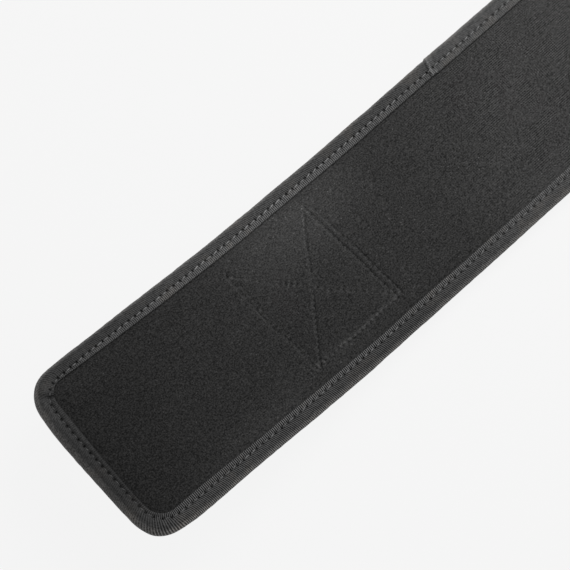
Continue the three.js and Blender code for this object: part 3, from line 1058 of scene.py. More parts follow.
# %% Tape skin
def tape_surface(q):
    """The skin's points at each station q, as flat belt coordinates (s, y, h)."""
    inset, height, n_in, n_up, across, outer = tape_section()
    q = np.asarray(q, float)[:, None]
    point, out = edge_point(q)
    s_edge, y_edge = point[..., 0], point[..., 1]
    station = station_at(q)
    on_lap = (q < side_run) & (y_edge > 0)
    row = wander(station, "row")
    cover = wander(station, "cover") + 0.12 * waves(q, q * 0, 31, 120, 25)
    cover = np.maximum(cover + 0.45 * (on_lap & (s_edge > fold_s)), row + 0.8)
    span = edge_thickness / 2
    i = np.where(
        inset <= stitch_inset,
        span + (inset - span) * (row - span) / (stitch_inset - span),
        row + (inset - stitch_inset) * (cover - row) / (tape_cover - stitch_inset),
    )
    i = np.where(inset <= span, inset, i)
    from_row = i - row
    hole = from_hole(q)
    flat_leg = (height > 7.9) | (height < 0.1)
    pit = np.exp(-((hole / 0.65) ** 2) - (from_row / 0.6) ** 2)
    trough = np.exp(-((from_row / 0.9) ** 2))
    lip = np.exp(-(((from_row - 1.7) / 1.0) ** 2))
    raised = (-1.0 * pit - 0.28 * trough + 0.10 * lip) * flat_leg
    raised = raised + 0.08 * waves(q, across * 2.0, 32, 60, 14) + 0.05 * waves(q, across * 2.0, 33, 9, 4)
    fold = fold_s - fold_slant * i - corner_radius
    rise = soft_step(np.clip((q - fold) / 1.1, 0, 1))
    settle = soft_step(np.clip((q - (lap_end - corner_radius)) / 7.0, 0, 1))
    lap = rise * (1 - settle) * on_lap
    crumple = np.sin((q - fold) * 2 * math.pi / 3.1) * np.exp(-(((q - fold - 3) / 4.0) ** 2))
    crumple = crumple * on_lap * rise
    crease = np.exp(-(((q - fold + 0.2) / 0.5) ** 2)) * on_lap
    crest = np.exp(-(((q - fold - 1.7) / 1.3) ** 2)) * on_lap * (height > 4)
    raised = raised + np.where(height > 6, 0.5, 0.25) * lap + 0.10 * crumple - 0.2 * crease + 0.15 * crest
    tuck_angle = np.degrees(np.arctan2(y_edge - (half_width - corner_radius), corner_radius - s_edge))
    in_corner = (s_edge < corner_radius) & (y_edge > half_width - corner_radius) & (height > 4)
    wedge = np.exp(-(((tuck_angle - 33) / 6.0) ** 2)) * np.clip((i - 1.5) / 3.0, 0, 1)
    flap = np.clip((tuck_angle - 35) / 4.0, 0, 1) * np.exp(-np.maximum(tuck_angle - 39, 0) / 25)
    raised = raised + (0.35 * flap * np.clip(i / 4, 0, 1) - 0.75 * wedge) * in_corner
    raised = raised * outer
    bulge = wander(station, "outline") * np.clip((5.5 - i) / 3.5, 0, 1)
    i = i + n_in * raised - bulge
    h = height + n_up * raised
    s = s_edge - out[..., 0] * i
    y = y_edge - out[..., 1] * i
    lip_share = soft_step(np.clip((from_row + 0.2) / 0.7, 0, 1))
    # painted light and shade from the table: the tape darker towards the near end, where less light falls
    tone = wander(station, "face") * (1 - lip_share) + wander(station, "lip") * lip_share
    # painted shade in the lap's crease and the corner's tuck, a painted highlight on the fold's crest,
    # painted light and shade on the crumple
    tone = tone * (1 - 0.6 * crease) * (1 + 1.0 * crest) * (1 + 0.3 * crumple)
    tone = tone * (1 - 0.45 * wedge * in_corner)
    return s, y, h, tone


tape_s, tape_y, tape_h, tape_tone = tape_surface(stations)
tape_mesh = wrap(
    "edge_tape", lay(tape_s, tape_y, tape_h), [*stations, row_length],
    [*across_tape, across_tape[-1] + 0.3], True, tape_tone,
)
ribs_shown = tape_mesh.attributes.new("ribs", "FLOAT", "POINT")
rib_clearness = wander(station_at(stations), "ribs")
ribs_shown.data.foreach_set("value", np.repeat(rib_clearness, len(across_tape)))
print("tape:", len(tape_mesh.polygons), "faces, row of", round(row_length), "mm")

# %% [markdown]
# Finish of the tape
#
# Grosgrain has a thick rib across it every millimetre and fine warp threads over the ribs. The
# ribs are in the bump, and their shading is also painted into the colour. The edge, where the tape
# turns round, has a painted sheen on its upper half and painted shade on its lower half, and the
# needle holes have painted shade. How clearly the ribs show is an attribute, because they are
# flattened in some stretches and crisp in others.

# %% Tape finish
rib_pitch, warp_pitch = 1.03, 1.05


def tape_finish():
    f = Finish("ribbed_tape")
    along, across = f.cloth()
    row_across = tape_cover - stitch_inset
    slanted = (across - row_across).math("MAXIMUM", 0.0) * 0.33
    rib = ((along + slanted + f.noise(14.0, 1.0) * 0.3) * (2 * math.pi / rib_pitch)).math("SINE")
    warp = ((across + f.noise(9.0, 1.0) * 0.6) * (2 * math.pi / warp_pitch)).math("SINE")
    on_lip = f.smooth(across, row_across - 0.2, row_across + 0.5, 1.0, 0.0)
    near_edge = (across - 10.9).math("ABSOLUTE")
    # painted sheen: lighter on the upper half of the edge, where the tape turns round
    painted_roll_sheen = f.smooth(near_edge, 1.0, 3.9, 1.0, 0.0) * f.smooth(across, 12.6, 13.3, 1.0, 0.0)
    beyond = f.smooth(across, 13.0, 13.6)
    grain = f.noise(0.9, 3.0, roughness=0.65)
    clear = f.tone("ribs").math("MINIMUM", 1.0)
    crisp = (f.tone("ribs") - 1.0).math("MAXIMUM", 0.0)
    # the ribs' light and dark in the colour is painted shading of the ribs, added to the bump's own
    soft_ribs = rib * clear * (1.0 - crisp * 0.6) * 0.65
    sharp_ribs = (f.smooth(rib, 0.15, 0.75) * 2.7 - 0.92) * crisp
    rib_share = on_lip * 0.35 + beyond * 0.3 + 0.7
    ribs = (soft_ribs + sharp_ribs) * rib_share + warp * (1.0 - on_lip) * 0.08
    blots = f.noise(9.0, 2.0)
    tone = 1.0 + ribs + (grain - 0.5) * 2.9 + (blots - 0.5) * 0.6
    # gain: the mesh's tone, the painted sheen on the edge, and painted shade on the lower half of the edge
    # and the underside
    gain = (f.tone() + painted_roll_sheen * 1.2) * (1.0 - beyond * 0.5)
    # painted shade in the needle holes, stronger where the tape's tone is low
    hole = ((along * (1 / stitch_pitch)).math("FRACT") - 0.5).math("ABSOLUTE")
    at_hole = f.smooth(hole, 0.35, 0.41)
    at_row = f.smooth((across - row_across).math("ABSOLUTE"), 0.4, 0.85, 1.0, 0.0)
    hole_share = f.smooth(f.tone(), 0.75, 1.1, 0.95, 0.5)
    level = tone.math("MAXIMUM", 0.12) * gain * (1.0 - at_hole * at_row * hole_share) * 0.184
    height = rib * (clear * (on_lip * 0.25 + 0.25) + 0.08) + warp * 0.05 + grain * 0.6
    # a warmer tint in the painted sheen on the edge, and in random blots of dye
    warm_share = painted_roll_sheen * 0.4 + f.smooth(blots, 0.5, 0.7) * 0.5
    return f.surface(**{
        "Base Color": f.mix(level, grey(0.0), f.mix(warm_share, grey(0.25), grey(0.25, 0.07))),
        "Roughness": f.smooth(rib, -0.8, 0.8, 0.74, 0.56),
        "Specular IOR Level": 0.12,
        "Sheen Weight": 0.03,
        "Sheen Roughness": 0.4,
        "Normal": f.bump(height, 0.22, 0.85),
    })


tape = add_piece("edge_tape", tape_mesh, tape_finish())
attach(tape, "root")
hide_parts("edge_binding")
print("tape finished")

# %% [markdown]
# Repeats with Geometry Nodes
#
# Stitches and hooks repeat hundreds of times. A tree of Geometry Nodes sets one shape on each point
# of a cloud, and each point carries the direction of its copy, the way out of the cloth and a
# scale. The result is turned into a plain mesh at once, so nothing is left to work out later.

# %% Geometry Nodes trees
def geometry_net(name, inputs):
    """An empty Geometry Nodes tree with named inputs; returns its net and a wire for each input."""
    tree = bpy.data.node_groups.new(name, "GeometryNodeTree")
    tree.interface.new_socket("Geometry", in_out="INPUT", socket_type="NodeSocketGeometry")
    for label, kind in inputs:
        tree.interface.new_socket(label, in_out="INPUT", socket_type=kind)
    tree.interface.new_socket("Geometry", in_out="OUTPUT", socket_type="NodeSocketGeometry")
    net = Net(tree)
    entry = tree.nodes.new("NodeGroupInput")
    return net, {socket.name: Wire(net, socket) for socket in entry.outputs if socket.name}


def set_on_points(net, points, shape):
    """One copy of the shape on each point, turned and scaled as the point says."""
    told = {
        label: net.node("GeometryNodeInputNamedAttribute", {"data_type": "FLOAT_VECTOR"}, {"Name": label})
        for label in ("direction", "outward", "size")
    }
    turn = net.node("FunctionNodeAxesToRotation", {"primary_axis": "Z", "secondary_axis": "X"}, {
        0: told["outward"], 1: told["direction"],
    })
    return net.node("GeometryNodeInstanceOnPoints", {}, {
        "Points": points, "Instance": shape, "Rotation": turn, "Scale": told["size"],
    })


def finish_net(net, geometry, material):
    """Ends a tree: copies are made real, get their material and leave the tree."""
    real = net.node("GeometryNodeRealizeInstances", {}, {0: geometry})
    painted = net.node("GeometryNodeSetMaterial", {}, {"Geometry": real, "Material": material})
    net.node("NodeGroupOutput", {}, {0: painted})


def grow(name, start_mesh, tree, values, finish):
    """Runs a tree on a mesh with the given named inputs and keeps the result as a plain mesh."""
    piece = bpy.data.objects.new(name, start_mesh)
    bpy.context.scene.collection.objects.link(piece)
    modifier = piece.modifiers.new("grow", "NODES")
    modifier.node_group = tree
    for socket in tree.interface.items_tree:
        if socket.in_out == "INPUT" and socket.name in values:
            modifier[socket.identifier] = values[socket.name]
    bpy.context.view_layer.update()
    plain = bpy.data.meshes.new_from_object(piece.evaluated_get(bpy.context.evaluated_depsgraph_get()))
    piece.modifiers.clear()
    piece.data = plain
    plain.name = name
    plain.materials.clear()
    plain.materials.append(finish)
    plain.polygons.foreach_set("use_smooth", [True] * len(plain.polygons))
    plain.update()
    return piece


print("tree helpers are ready")

# %% [markdown]
# Stitches
#
# A stitch is a short thread that dips into the cloth at both ends: a curve with three points and a
# round section. The same tree sews the edge tape and the squares, with other sizes.

# %% Stitch tree
def stitch_tree(material):
    net, given = geometry_net("stitches", [
        ("Thread", "NodeSocketFloat"), ("Length", "NodeSocketFloat"), ("Rise", "NodeSocketFloat"),
    ])
    half = given["Length"] * 0.5
    start = net.node("ShaderNodeCombineXYZ", {}, {0: 0.0 - half, 2: 0.0 - given["Rise"]})
    middle = net.node("ShaderNodeCombineXYZ", {}, {2: given["Rise"] * 1.6})
    end = net.node("ShaderNodeCombineXYZ", {}, {0: half, 2: 0.0 - given["Rise"]})
    path = net.node("GeometryNodeCurveQuadraticBezier", {}, {
        "Resolution": 7, "Start": start, "Middle": middle, "End": end,
    })
    section = net.node("GeometryNodeCurvePrimitiveCircle", {"mode": "RADIUS"}, {
        "Resolution": 7, "Radius": given["Thread"] * 0.5,
    })
    thread = net.node("GeometryNodeCurveToMesh", {}, {
        "Curve": path, "Profile Curve": section, "Fill Caps": True,
    })
    finish_net(net, set_on_points(net, given["Geometry"], thread), material)
    return net.tree


def stitch_points(name, places, directions, outward, sizes, tones=None):
    """A cloud of points that carries what the stitch tree reads, and the tone of each thread."""
    cloud = bpy.data.meshes.new(name)
    cloud.from_pydata(np.asarray(places).tolist(), [], [])
    for label, values in (("direction", directions), ("outward", outward), ("size", sizes)):
        layer = cloud.attributes.new(label, "FLOAT_VECTOR", "POINT")
        layer.data.foreach_set("vector", np.ascontiguousarray(values, dtype=float).ravel())
    layer = cloud.attributes.new("tone", "FLOAT", "POINT")
    layer.data.foreach_set("value", np.ones(len(places)) if tones is None else np.asarray(tones, float))
    return cloud


def unit(v):
    """Vectors of length 1 in the same directions."""
    return v / np.linalg.norm(v, axis=-1, keepdims=True)


print("stitch tree is ready")


# %% [markdown]
# Finish of the thread
#
# Polyester sewing thread is smoother than the cloth and catches the light. Its glints are also
# painted into its colour: lighter streaks where its strands lie, and a tone for each stitch, carried
# over from its point, that is a painted glint weaker towards the near end times a random share.

# %% Thread finish
def thread_finish():
    f = Finish("sewing_thread")
    strands = f.noise(0.35, 2.0)
    return f.surface(**{
        # painted glints: lighter streaks along the strands, times the stitch's painted tone
        "Base Color": f.mix(f.smooth(strands, 0.35, 0.7, 0.3, 0.75) * f.tone(), grey(0.0), grey(0.20)),
        "Roughness": f.smooth(strands, 0.3, 0.7, 0.34, 0.5),
        "Specular IOR Level": 0.5,
        "Normal": f.bump(strands, 0.08, 0.6),
    })


thread_material = thread_finish()
sewing = stitch_tree(thread_material)
print("thread finished")

# %% [markdown]
# The row round the edge
#
# A lockstitch shows on both faces, so each stitch is sewn twice, once above and once below. The
# places come from the tape's own surface, half a pitch from its needle holes.

# %% Stitches of the edge tape
def edge_stitches():
    """Places, directions, ways out, sizes and tones of the stitches on both faces."""
    middles = (np.arange(stitch_count) + 0.52) * stitch_pitch
    chance = np.random.default_rng(4)
    places, directions, outward, sizes, tones = [], [], [], [], []
    for face, height in ((1, edge_thickness), (-1, 0.0)):
        ends, above = [], []
        deep = 0.10 * chance.random(stitch_count)
        for offset in (-stitch_pitch / 2, 0.0, stitch_pitch / 2):
            point, out = edge_point(middles + offset)
            row = wander(station_at(middles + offset), "row") + 0.12 * offset / stitch_pitch
            at = point - out * row[:, None]
            past_fold = point[:, 0] > fold_s - fold_slant * row
            on_lap = (point[:, 1] > 0) & past_fold & (point[:, 0] < lap_end + 6)
            lap = 0.5 * on_lap * np.clip((lap_end + 6 - point[:, 0]) / 7, 0, 1)
            at_end = np.exp(-((point[:, 0] / 14.0) ** 2))
            level = height + face * (lap - 0.26 - 0.16 * at_end - deep)
            ends.append(lay(at[:, 0], at[:, 1], level))
            above.append(lay(at[:, 0], at[:, 1], level + face))
        side = unit(np.cross(above[1] - ends[1], ends[2] - ends[0]))
        along = unit(ends[2] - ends[0]) + side * (0.2 + 0.1 * chance.normal(size=(stitch_count, 1)))
        places.append(ends[1])
        directions.append(unit(along))
        outward.append(unit(above[1] - ends[1]))
        length = np.linalg.norm(ends[2] - ends[0], axis=1) / (stitch_pitch * MM)
        length = length * (0.82 + 0.36 * chance.random(stitch_count))
        width, rise = 0.85 + 0.3 * chance.random((2, stitch_count))
        sizes.append(np.stack([length, width, rise], -1))
        # painted glint: the table's thread tone, weaker towards the near end, times a random share for each
        # stitch
        tones.append(wander(station_at(middles), "thread") * (0.8 + 0.4 * chance.random(stitch_count)))
    return [np.concatenate(v) for v in (places, directions, outward, sizes, tones)]


tape_thread = grow(
    "tape_stitches",
    stitch_points("tape_stitches", *edge_stitches()),
    sewing,
    {"Thread": 0.62 * MM, "Length": (stitch_pitch - 1.6) * MM, "Rise": 0.34 * MM},
    thread_material,
)
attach(tape_thread, "root")
print("edge stitches:", len(tape_thread.data.polygons), "faces")

# %% [markdown]
# Stitches of the squares
#
# On the lining these are fine, tight and almost hidden in their grooves. On the strap below, the
# other thread of the same stitch shows.

# %% Stitches of the squares
strap_underside = -4.55
seam_finish = Finish("seam_thread")
seam_strands = seam_finish.noise(0.3, 2.0)
seam_material = seam_finish.surface(**{
    "Base Color": seam_finish.mix(seam_strands, grey(0.012), grey(0.05)),
    "Roughness": seam_finish.smooth(seam_strands, 0.3, 0.7, 0.5, 0.7),
    "Specular IOR Level": 0.35,
    "Normal": seam_finish.bump(seam_strands, 0.06, 0.5),
})
seam_sewing = stitch_tree(seam_material)


def square_stitches(mirrored, height, face):
    """Stitches along the legs of a square, at a height above the belt's underside."""
    places, directions, outward, sizes = [], [], [], []
    for leg in square.values():
        holes = leg["holes"]
        if mirrored:
            holes = np.stack([belt_length - holes[:, 0], -holes[:, 1]], -1)
        middle, step = (holes[:-1] + holes[1:]) / 2, holes[1:] - holes[:-1]
        level = height(*middle.T, leg)
        ends = [lay(*(middle + k * step).T, level) for k in (-0.5, 0.5)]
        base = lay(*middle.T, level)
        places.append(base)
        directions.append(unit(ends[1] - ends[0]))
        outward.append(unit(lay(*middle.T, level + face) - base))
        length = np.linalg.norm(ends[1] - ends[0], axis=1) / (seam_pitch * MM)
        sizes.append(np.stack([length, np.ones_like(length), np.ones_like(length)], -1))
    return [np.concatenate(v) for v in (places, directions, outward, sizes)]


def on_lining(s, y, leg):
    """Height of a stitch in its groove."""
    return lining_top(s, y) + 0.05 + leg["thread"]


def under_strap(s, y, leg):
    """Height of the same stitch's other thread, on the lower of the strap's two layers."""
    return np.full_like(s, strap_underside)


square_clouds = [
    square_stitches(False, on_lining, 1),
    square_stitches(True, on_lining, 1),
    square_stitches(False, under_strap, -1),
]
square_thread = grow(
    "square_stitches",
    stitch_points("square_stitches", *(np.concatenate(v) for v in zip(*square_clouds))),
    seam_sewing,
    {"Thread": 0.5 * MM, "Length": (seam_pitch - 0.9) * MM, "Rise": 0.28 * MM},
    seam_material,
)
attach(square_thread, "root")
print("square stitches:", len(square_thread.data.polygons), "faces")

# %% [markdown]
# Strap
#
# One length of heavy webbing: sewn under the near end, round the ring's bar, back along the
# underside and on past the far end, where it sinks to the floor and lies flat. It is drawn from
# the side as one line, from its sewn end to its tip, because its thickness never changes and one
# line shows at once where it turns, sinks and lies.

# %% Strap line
strap_width, strap_thickness, gap = 76.0, 2.0, 0.3
wire, ring_opening, ring_room, ring_bend = 5.0, 22.0, 4.0, 3.5
anchor_start, anchor_end, anchor_margin, fold_length = 121.0, 177.0, 4.0, 21.0
patch_length, patch_width, patch_thickness, patch_radius, patch_inset = 90.0, 70.0, 1.5, 6.0, 6.0
strap_drop, strap_beyond, ramp_length, tip_radius = 62.0, 230.0, 14.0, 12.0
upper_depth = gap + strap_thickness / 2
lower_depth = upper_depth + strap_thickness + gap
loop_radius = wire / 2 + gap + strap_thickness / 2
bar_depth = upper_depth + loop_radius
bar_station = anchor_start - fold_length
strap_tip = bent(belt_length, 0, 0)[0] + strap_beyond


def side_line(step):
    """The strap's centre line seen from the side, as x and z in bent millimetres."""
    line = []

    def below(s, depth):
        p = bent(s, 0, -depth)
        line.extend(zip(np.atleast_1d(p[..., 0]), np.atleast_1d(p[..., 2])))

    below(spread(anchor_end + anchor_margin, anchor_start, step), lower_depth)
    share = np.linspace(0, 1, 16)[1:-1]
    sink = bar_depth + loop_radius - lower_depth
    below(anchor_start - fold_length * share, lower_depth + sink * soft_step(share))
    turn = np.linspace(0, math.pi, 19)
    below(bar_station - loop_radius * np.sin(turn), bar_depth + loop_radius * np.cos(turn))
    below(spread(bar_station, belt_length - anchor_start + anchor_margin, step)[1:], upper_depth)
    a, b = np.array(line[-1]), np.array(line[-2])
    pull = strap_drop / 3 * (a - b) / np.linalg.norm(a - b)
    land = np.array([a[0] + strap_drop, strap_thickness / 2])
    t = np.linspace(0, 1, 32)[1:, None]
    bend = [a, a + pull, land - np.array([strap_drop / 3, 0]), land]
    weights = [(1 - t) ** 3, 3 * t * (1 - t) ** 2, 3 * t * t * (1 - t), t**3]
    line.extend(map(tuple, sum(w * p for w, p in zip(weights, bend))))
    low, high = strap_thickness / 2, strap_thickness / 2 + patch_thickness + gap
    ramp_end = strap_tip - patch_inset - patch_length - gap
    for x in spread(land[0], ramp_end - ramp_length, step)[1:-1]:
        line.append((x, low))
    for share in np.linspace(0, 1, 10):
        line.append((ramp_end - ramp_length * (1 - share), low + (high - low) * soft_step(share)))
    for x in spread(ramp_end, strap_tip, 1.5)[1:]:
        line.append((x, high))
    return np.array(line)


strap_line = side_line(2.0)
reached = np.concatenate([[0], np.cumsum(np.linalg.norm(np.diff(strap_line, axis=0), axis=1))])
strap_length = float(reached[-1])
print("strap:", round(strap_length), "mm of webbing")


# %% [markdown]
# The strap's skin
#
# Along its line the strap has the section of a woven band: two flat faces, rounded selvedges, and a
# slight bead beside each selvedge where the weft turns back. Its tip is cut round.

# %% Strap skin
def strap_skin():
    """The strap's points, row by row from its sewn end, and the distances across its cloth."""
    along = np.gradient(strap_line, axis=0)
    normal = unit(np.stack([-along[:, 1], along[:, 0]], -1))
    to_tip = strap_length - reached
    sunk = np.clip(tip_radius - to_tip, 0, tip_radius)
    reach_y = strap_width / 2 - tip_radius + np.sqrt(tip_radius**2 - sunk**2)
    face = strap_thickness / 2
    flat = np.linspace(-1, 1, 25)
    upper = [(v, 1.0) for v in flat * 0.985]
    lower = [(v, -1.0) for v in flat[::-1] * 0.985]
    selvedge = [(0.9965, 0.72), (1.0, 0.0), (0.9965, -0.72)]
    loop = [*upper, *selvedge, *lower, *[(-v, h) for v, h in selvedge[::-1]]]
    v, h = np.array(loop).T
    bead = 0.06 * np.exp(-(((np.abs(v) - 0.955) / 0.02) ** 2))
    y = reach_y[:, None] * v[None, :] + 0.12 * waves(reached[:, None], 0 * v[None, :], 41, 200, 60)
    up = face * (h * (0.97 + bead))[None, :] + 0 * y
    points = np.zeros((*y.shape, 3))
    points[..., 0] = strap_line[:, :1] + normal[:, :1] * up
    points[..., 1] = y
    points[..., 2] = strap_line[:, 1:] + normal[:, 1:] * up
    across = np.concatenate([[0], np.cumsum(np.hypot(np.diff(v) * strap_width / 2, np.diff(h) * face))])
    return (points + shift) * MM, across


strap_points, strap_across = strap_skin()
strap_mesh = wrap("strap_webbing", strap_points, reached, [*strap_across, strap_across[-1] + 1.0], False)
print("strap:", len(strap_mesh.polygons), "faces")

# %% [markdown]
# Finish of the strap
#
# Heavy webbing is woven in a herringbone: stripes a few millimetres wide, in which the slant of the
# twill turns over from one stripe to the next. Its outer face is brushed, so that hooks can grip
# it. The cloth map tells the two faces apart.

# %% Strap finish
stripe_pitch, twill_pitch = 2.6, 1.7


def webbing_finish():
    f = Finish("nylon_webbing")
    along, across = f.cloth()
    stripe_wave = (across * (math.pi / stripe_pitch)).math("SINE")
    stripe = stripe_wave.math("ABSOLUTE")
    slant = stripe_wave.math("SIGN") * across + along
    twill = (slant * (2 * math.pi / twill_pitch)).math("SINE") * 0.5 + 0.5
    yarn = f.noise(0.5, 3.0)
    height = stripe * 0.5 + twill * 0.5 + yarn * 0.3
    brushed = f.smooth(across, strap_width + 1.5, strap_width + 3.5)
    fuzz = f.noise(0.9, 4.0, roughness=0.7)
    height = height * (1 - brushed) + (fuzz * 1.6) * brushed
    tone = f.smooth(height + f.noise(24.0, 2.0) * 0.4, 0.5, 1.6)
    return f.surface(**{
        "Base Color": f.mix(tone, grey(0.008), grey(0.034)),
        "Roughness": f.smooth(yarn, 0.3, 0.7, 0.55, 0.72),
        "Specular IOR Level": 0.35,
        "Sheen Weight": 0.1,
        "Normal": f.bump(height, 0.3, 0.8),
    })


strap = add_piece("strap_webbing", strap_mesh, webbing_finish())
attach(strap, "root")
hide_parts("closure_strap")

# %% [markdown]
# Finish of the ring
#
# Plated steel wire has fine scratches along it and dull patches where hands touched it. Both change
# the roughness more than the colour.

# %% Ring finish
def ring_finish():
    f = Finish("plated_steel")
    scratches = f.noise(0.7, 4.0, stretch=(1.0, 0.06, 1.0))
    dull = f.noise(6.0, 3.0)
    return f.surface(**{
        "Base Color": f.mix(f.smooth(dull, 0.35, 0.75), grey(0.50), grey(0.60)),
        "Metallic": 1.0,
        "Roughness": f.smooth(scratches * 0.5 + dull * 0.5, 0.35, 0.65, 0.24, 0.42),
        "Normal": f.bump(scratches, 0.02, 0.5),
    })


ring_material = ring_finish()
print("ring finish is ready")

# %% [markdown]
# Ring
#
# The strap's tip passes through this ring and folds back. It is one steel wire bent to a flat
# rectangle with tight corners. Geometry Nodes draw the rectangle, round its corners and give it
# the wire's section, and the same tree lays it against the strap and the floor.

# %% Ring
bar = bent(bar_station, 0, -bar_depth)
ring_span = ring_opening + wire
ring_tilt = math.asin((bar[2] - wire / 2) / ring_span)
ring_net, ring_in = geometry_net("wire_ring", [
    ("Span", "NodeSocketFloat"), ("Width", "NodeSocketFloat"), ("Wire", "NodeSocketFloat"),
    ("Bend", "NodeSocketFloat"), ("Place", "NodeSocketVector"), ("Tilt", "NodeSocketFloat"),
])
outline = ring_net.node("GeometryNodeCurvePrimitiveQuadrilateral", {"mode": "RECTANGLE"}, {
    "Width": ring_in["Span"], "Height": ring_in["Width"],
})
rounded = ring_net.node("GeometryNodeFilletCurve", {"mode": "POLY"}, {
    "Curve": outline, "Count": 10, "Radius": ring_in["Bend"],
})
wire_section = ring_net.node("GeometryNodeCurvePrimitiveCircle", {"mode": "RADIUS"}, {
    "Resolution": 24, "Radius": ring_in["Wire"] * 0.5,
})
ring_body = ring_net.node("GeometryNodeCurveToMesh", {}, {"Curve": rounded, "Profile Curve": wire_section})
ring_rotation = ring_net.node("ShaderNodeCombineXYZ", {}, {1: 0.0 - ring_in["Tilt"]})
ring_placed = ring_net.node("GeometryNodeTransform", {}, {
    "Geometry": ring_body, "Translation": ring_in["Place"], "Rotation": ring_rotation,
})
finish_net(ring_net, ring_placed, ring_material)
ring_reach = ring_span / 2 * MM
ring_offset = np.array([-math.cos(ring_tilt) * ring_reach, 0.0, -math.sin(ring_tilt) * ring_reach])
ring_middle = (bar + shift) * MM + ring_offset
ring = grow("buckle_wire_ring", bpy.data.meshes.new("ring_start"), ring_net.tree, {
    "Span": ring_span * MM,
    "Width": (strap_width + 2 * ring_room + wire) * MM,
    "Wire": wire * MM,
    "Bend": (ring_bend + wire / 2) * MM,
    "Place": ring_middle.tolist(),
    "Tilt": ring_tilt,
}, ring_material)
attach(ring, "root")
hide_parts("buckle_ring")
print("ring:", len(ring.data.polygons), "faces, tilted", round(math.degrees(ring_tilt), 1), "degrees")

# %% [markdown]
# Base of the hook tape
#
# The strap's tip carries a patch of hooks that grip the strap's brushed outer face. Its base is a
# thin plate with round corners, drawn as four loops, one above the other, the outer two a little
# smaller so that its rims look pressed.

# %% Base of the hook tape
hook_pitch, hook_height, hook_margin = 1.7, 0.9, 1.2


def patch_base():
    """The closed plate under the hooks, as loops with round corners, one above the other."""
    start = strap_tip - patch_inset - patch_length
    r = patch_radius
    a = np.radians(np.linspace(0, 90, 9))
    quarter = np.stack([r - r * np.cos(a), patch_width / 2 - r + r * np.sin(a)], -1)
    half = np.concatenate([quarter, np.stack([patch_length - quarter[::-1, 0], quarter[::-1, 1]], -1)])
    loop = np.concatenate([half, half[::-1] * np.array([1, -1])])
    rim, low, high = 0.12, hook_height, patch_thickness
    levels = [(0.15, low), (0, low + rim), (0, high - rim), (0.15, high)]
    centre = np.array([patch_length / 2, 0])
    rows = []
    for inset, z in levels:
        shrunk = centre + (loop - centre) * (1 - inset / 40)
        rows.append(np.column_stack([start + shrunk[:, 0], shrunk[:, 1], np.full(len(loop), z)]))
    points = (np.array(rows) + shift) * MM
    count = len(loop)
    faces = [
        [k * count + j, k * count + (j + 1) % count, (k + 1) * count + (j + 1) % count, (k + 1) * count + j]
        for k in range(len(levels) - 1) for j in range(count)
    ]
    faces += [list(range(count))[::-1], list(range((len(levels) - 1) * count, len(levels) * count))]
    flat = points.reshape(-1, 3)[:, :2]
    return make_mesh("hook_tape_base", points.reshape(-1, 3), faces, [flat[f] for f in faces])


base_mesh = patch_base()
print("hook base:", len(base_mesh.polygons), "faces")


# %% [markdown]
# Hooks
#
# One hook is a short bent wire of moulded nylon, here with a section of only four sides, since
# there are thousands. Geometry Nodes set it on every point of a grid. The rows face by turns one
# way and the other, and here they all point down at the floor.

# %% Hooks
def hook_finish():
    f = Finish("moulded_hooks")
    grain = f.noise(1.2, 3.0)
    return f.surface(**{
        "Base Color": f.mix(grain, grey(0.006), grey(0.018)),
        "Roughness": f.smooth(grain, 0.3, 0.7, 0.38, 0.55),
        "Specular IOR Level": 0.45,
        "Normal": f.bump(grain, 0.05, 0.5),
    })


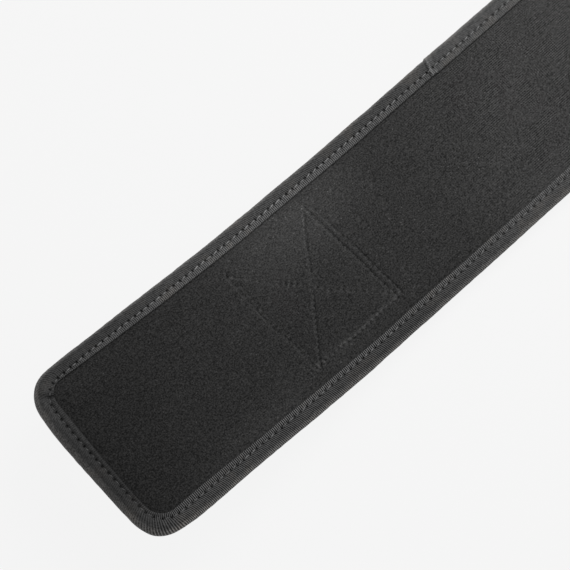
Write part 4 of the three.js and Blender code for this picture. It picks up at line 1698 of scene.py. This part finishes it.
hook_material = hook_finish()
hook_net, hook_in = geometry_net("hooks", [("Height", "NodeSocketFloat"), ("Thickness", "NodeSocketFloat")])
stem = hook_in["Height"]
hook_path = hook_net.node("GeometryNodeCurvePrimitiveBezierSegment", {"mode": "POSITION"}, {
    "Resolution": 6,
    "Start": (0.0, 0.0, 0.0),
    "Start Handle": hook_net.node("ShaderNodeCombineXYZ", {}, {2: stem * 1.35}),
    "End Handle": hook_net.node("ShaderNodeCombineXYZ", {}, {0: stem * 0.75, 2: stem * 1.15}),
    "End": hook_net.node("ShaderNodeCombineXYZ", {}, {0: stem * 0.55, 2: stem * 0.45}),
})
hook_section = hook_net.node("GeometryNodeCurvePrimitiveCircle", {"mode": "RADIUS"}, {
    "Resolution": 4, "Radius": hook_in["Thickness"] * 0.5,
})
hook_shape = hook_net.node("GeometryNodeCurveToMesh", {}, {
    "Curve": hook_path, "Profile Curve": hook_section, "Fill Caps": True,
})
hooks_set = set_on_points(hook_net, hook_in["Geometry"], hook_shape)
finish_net(hook_net, hooks_set, hook_material)


def hook_points():
    """Where the hooks stand, which way they bend, and their sizes."""
    start = strap_tip - patch_inset - patch_length
    inner = patch_length - 2 * hook_margin, patch_width - 2 * hook_margin
    x = start + hook_margin + spread(0, inner[0], hook_pitch)
    y = spread(-inner[1] / 2, inner[1] / 2, hook_pitch)
    xx, yy = (v.ravel() for v in np.meshgrid(x, y, indexing="ij"))
    from_end = np.minimum(xx - start, start + patch_length - xx)
    from_side = patch_width / 2 - np.abs(yy)
    deep = np.hypot(np.maximum(patch_radius - from_end, 0), np.maximum(patch_radius - from_side, 0))
    keep = deep < patch_radius - hook_margin * 0.8
    xx, yy = xx[keep], yy[keep]
    chance = np.random.default_rng(9)
    places = (np.stack([xx, yy, np.full(len(xx), hook_height + 0.05)], -1) + shift) * MM
    row = np.round((yy - yy.min()) / hook_pitch).astype(int) % 2
    lean = 0.15 * chance.normal(size=len(xx))
    way = np.where(row == 0, 1.0, -1.0)
    directions = np.stack([way * np.cos(lean), np.sin(lean), 0 * xx], -1)
    outward = np.tile([0.0, 0.0, -1.0], (len(xx), 1))
    sizes = np.ones((len(xx), 3)) * (0.94 + 0.06 * chance.random((len(xx), 1)))
    return places, directions, outward, sizes


hooks = grow(
    "hook_tape_hooks", stitch_points("hooks", *hook_points()), hook_net.tree,
    {"Height": 0.86 * MM, "Thickness": 0.2 * MM}, hook_material,
)
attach(hooks, "root")
base = add_piece("hook_tape_base", base_mesh, hook_material, smooth=False)
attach(base, "root")
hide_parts("hook_patch")
print("hooks:", len(hooks.data.polygons), "faces")
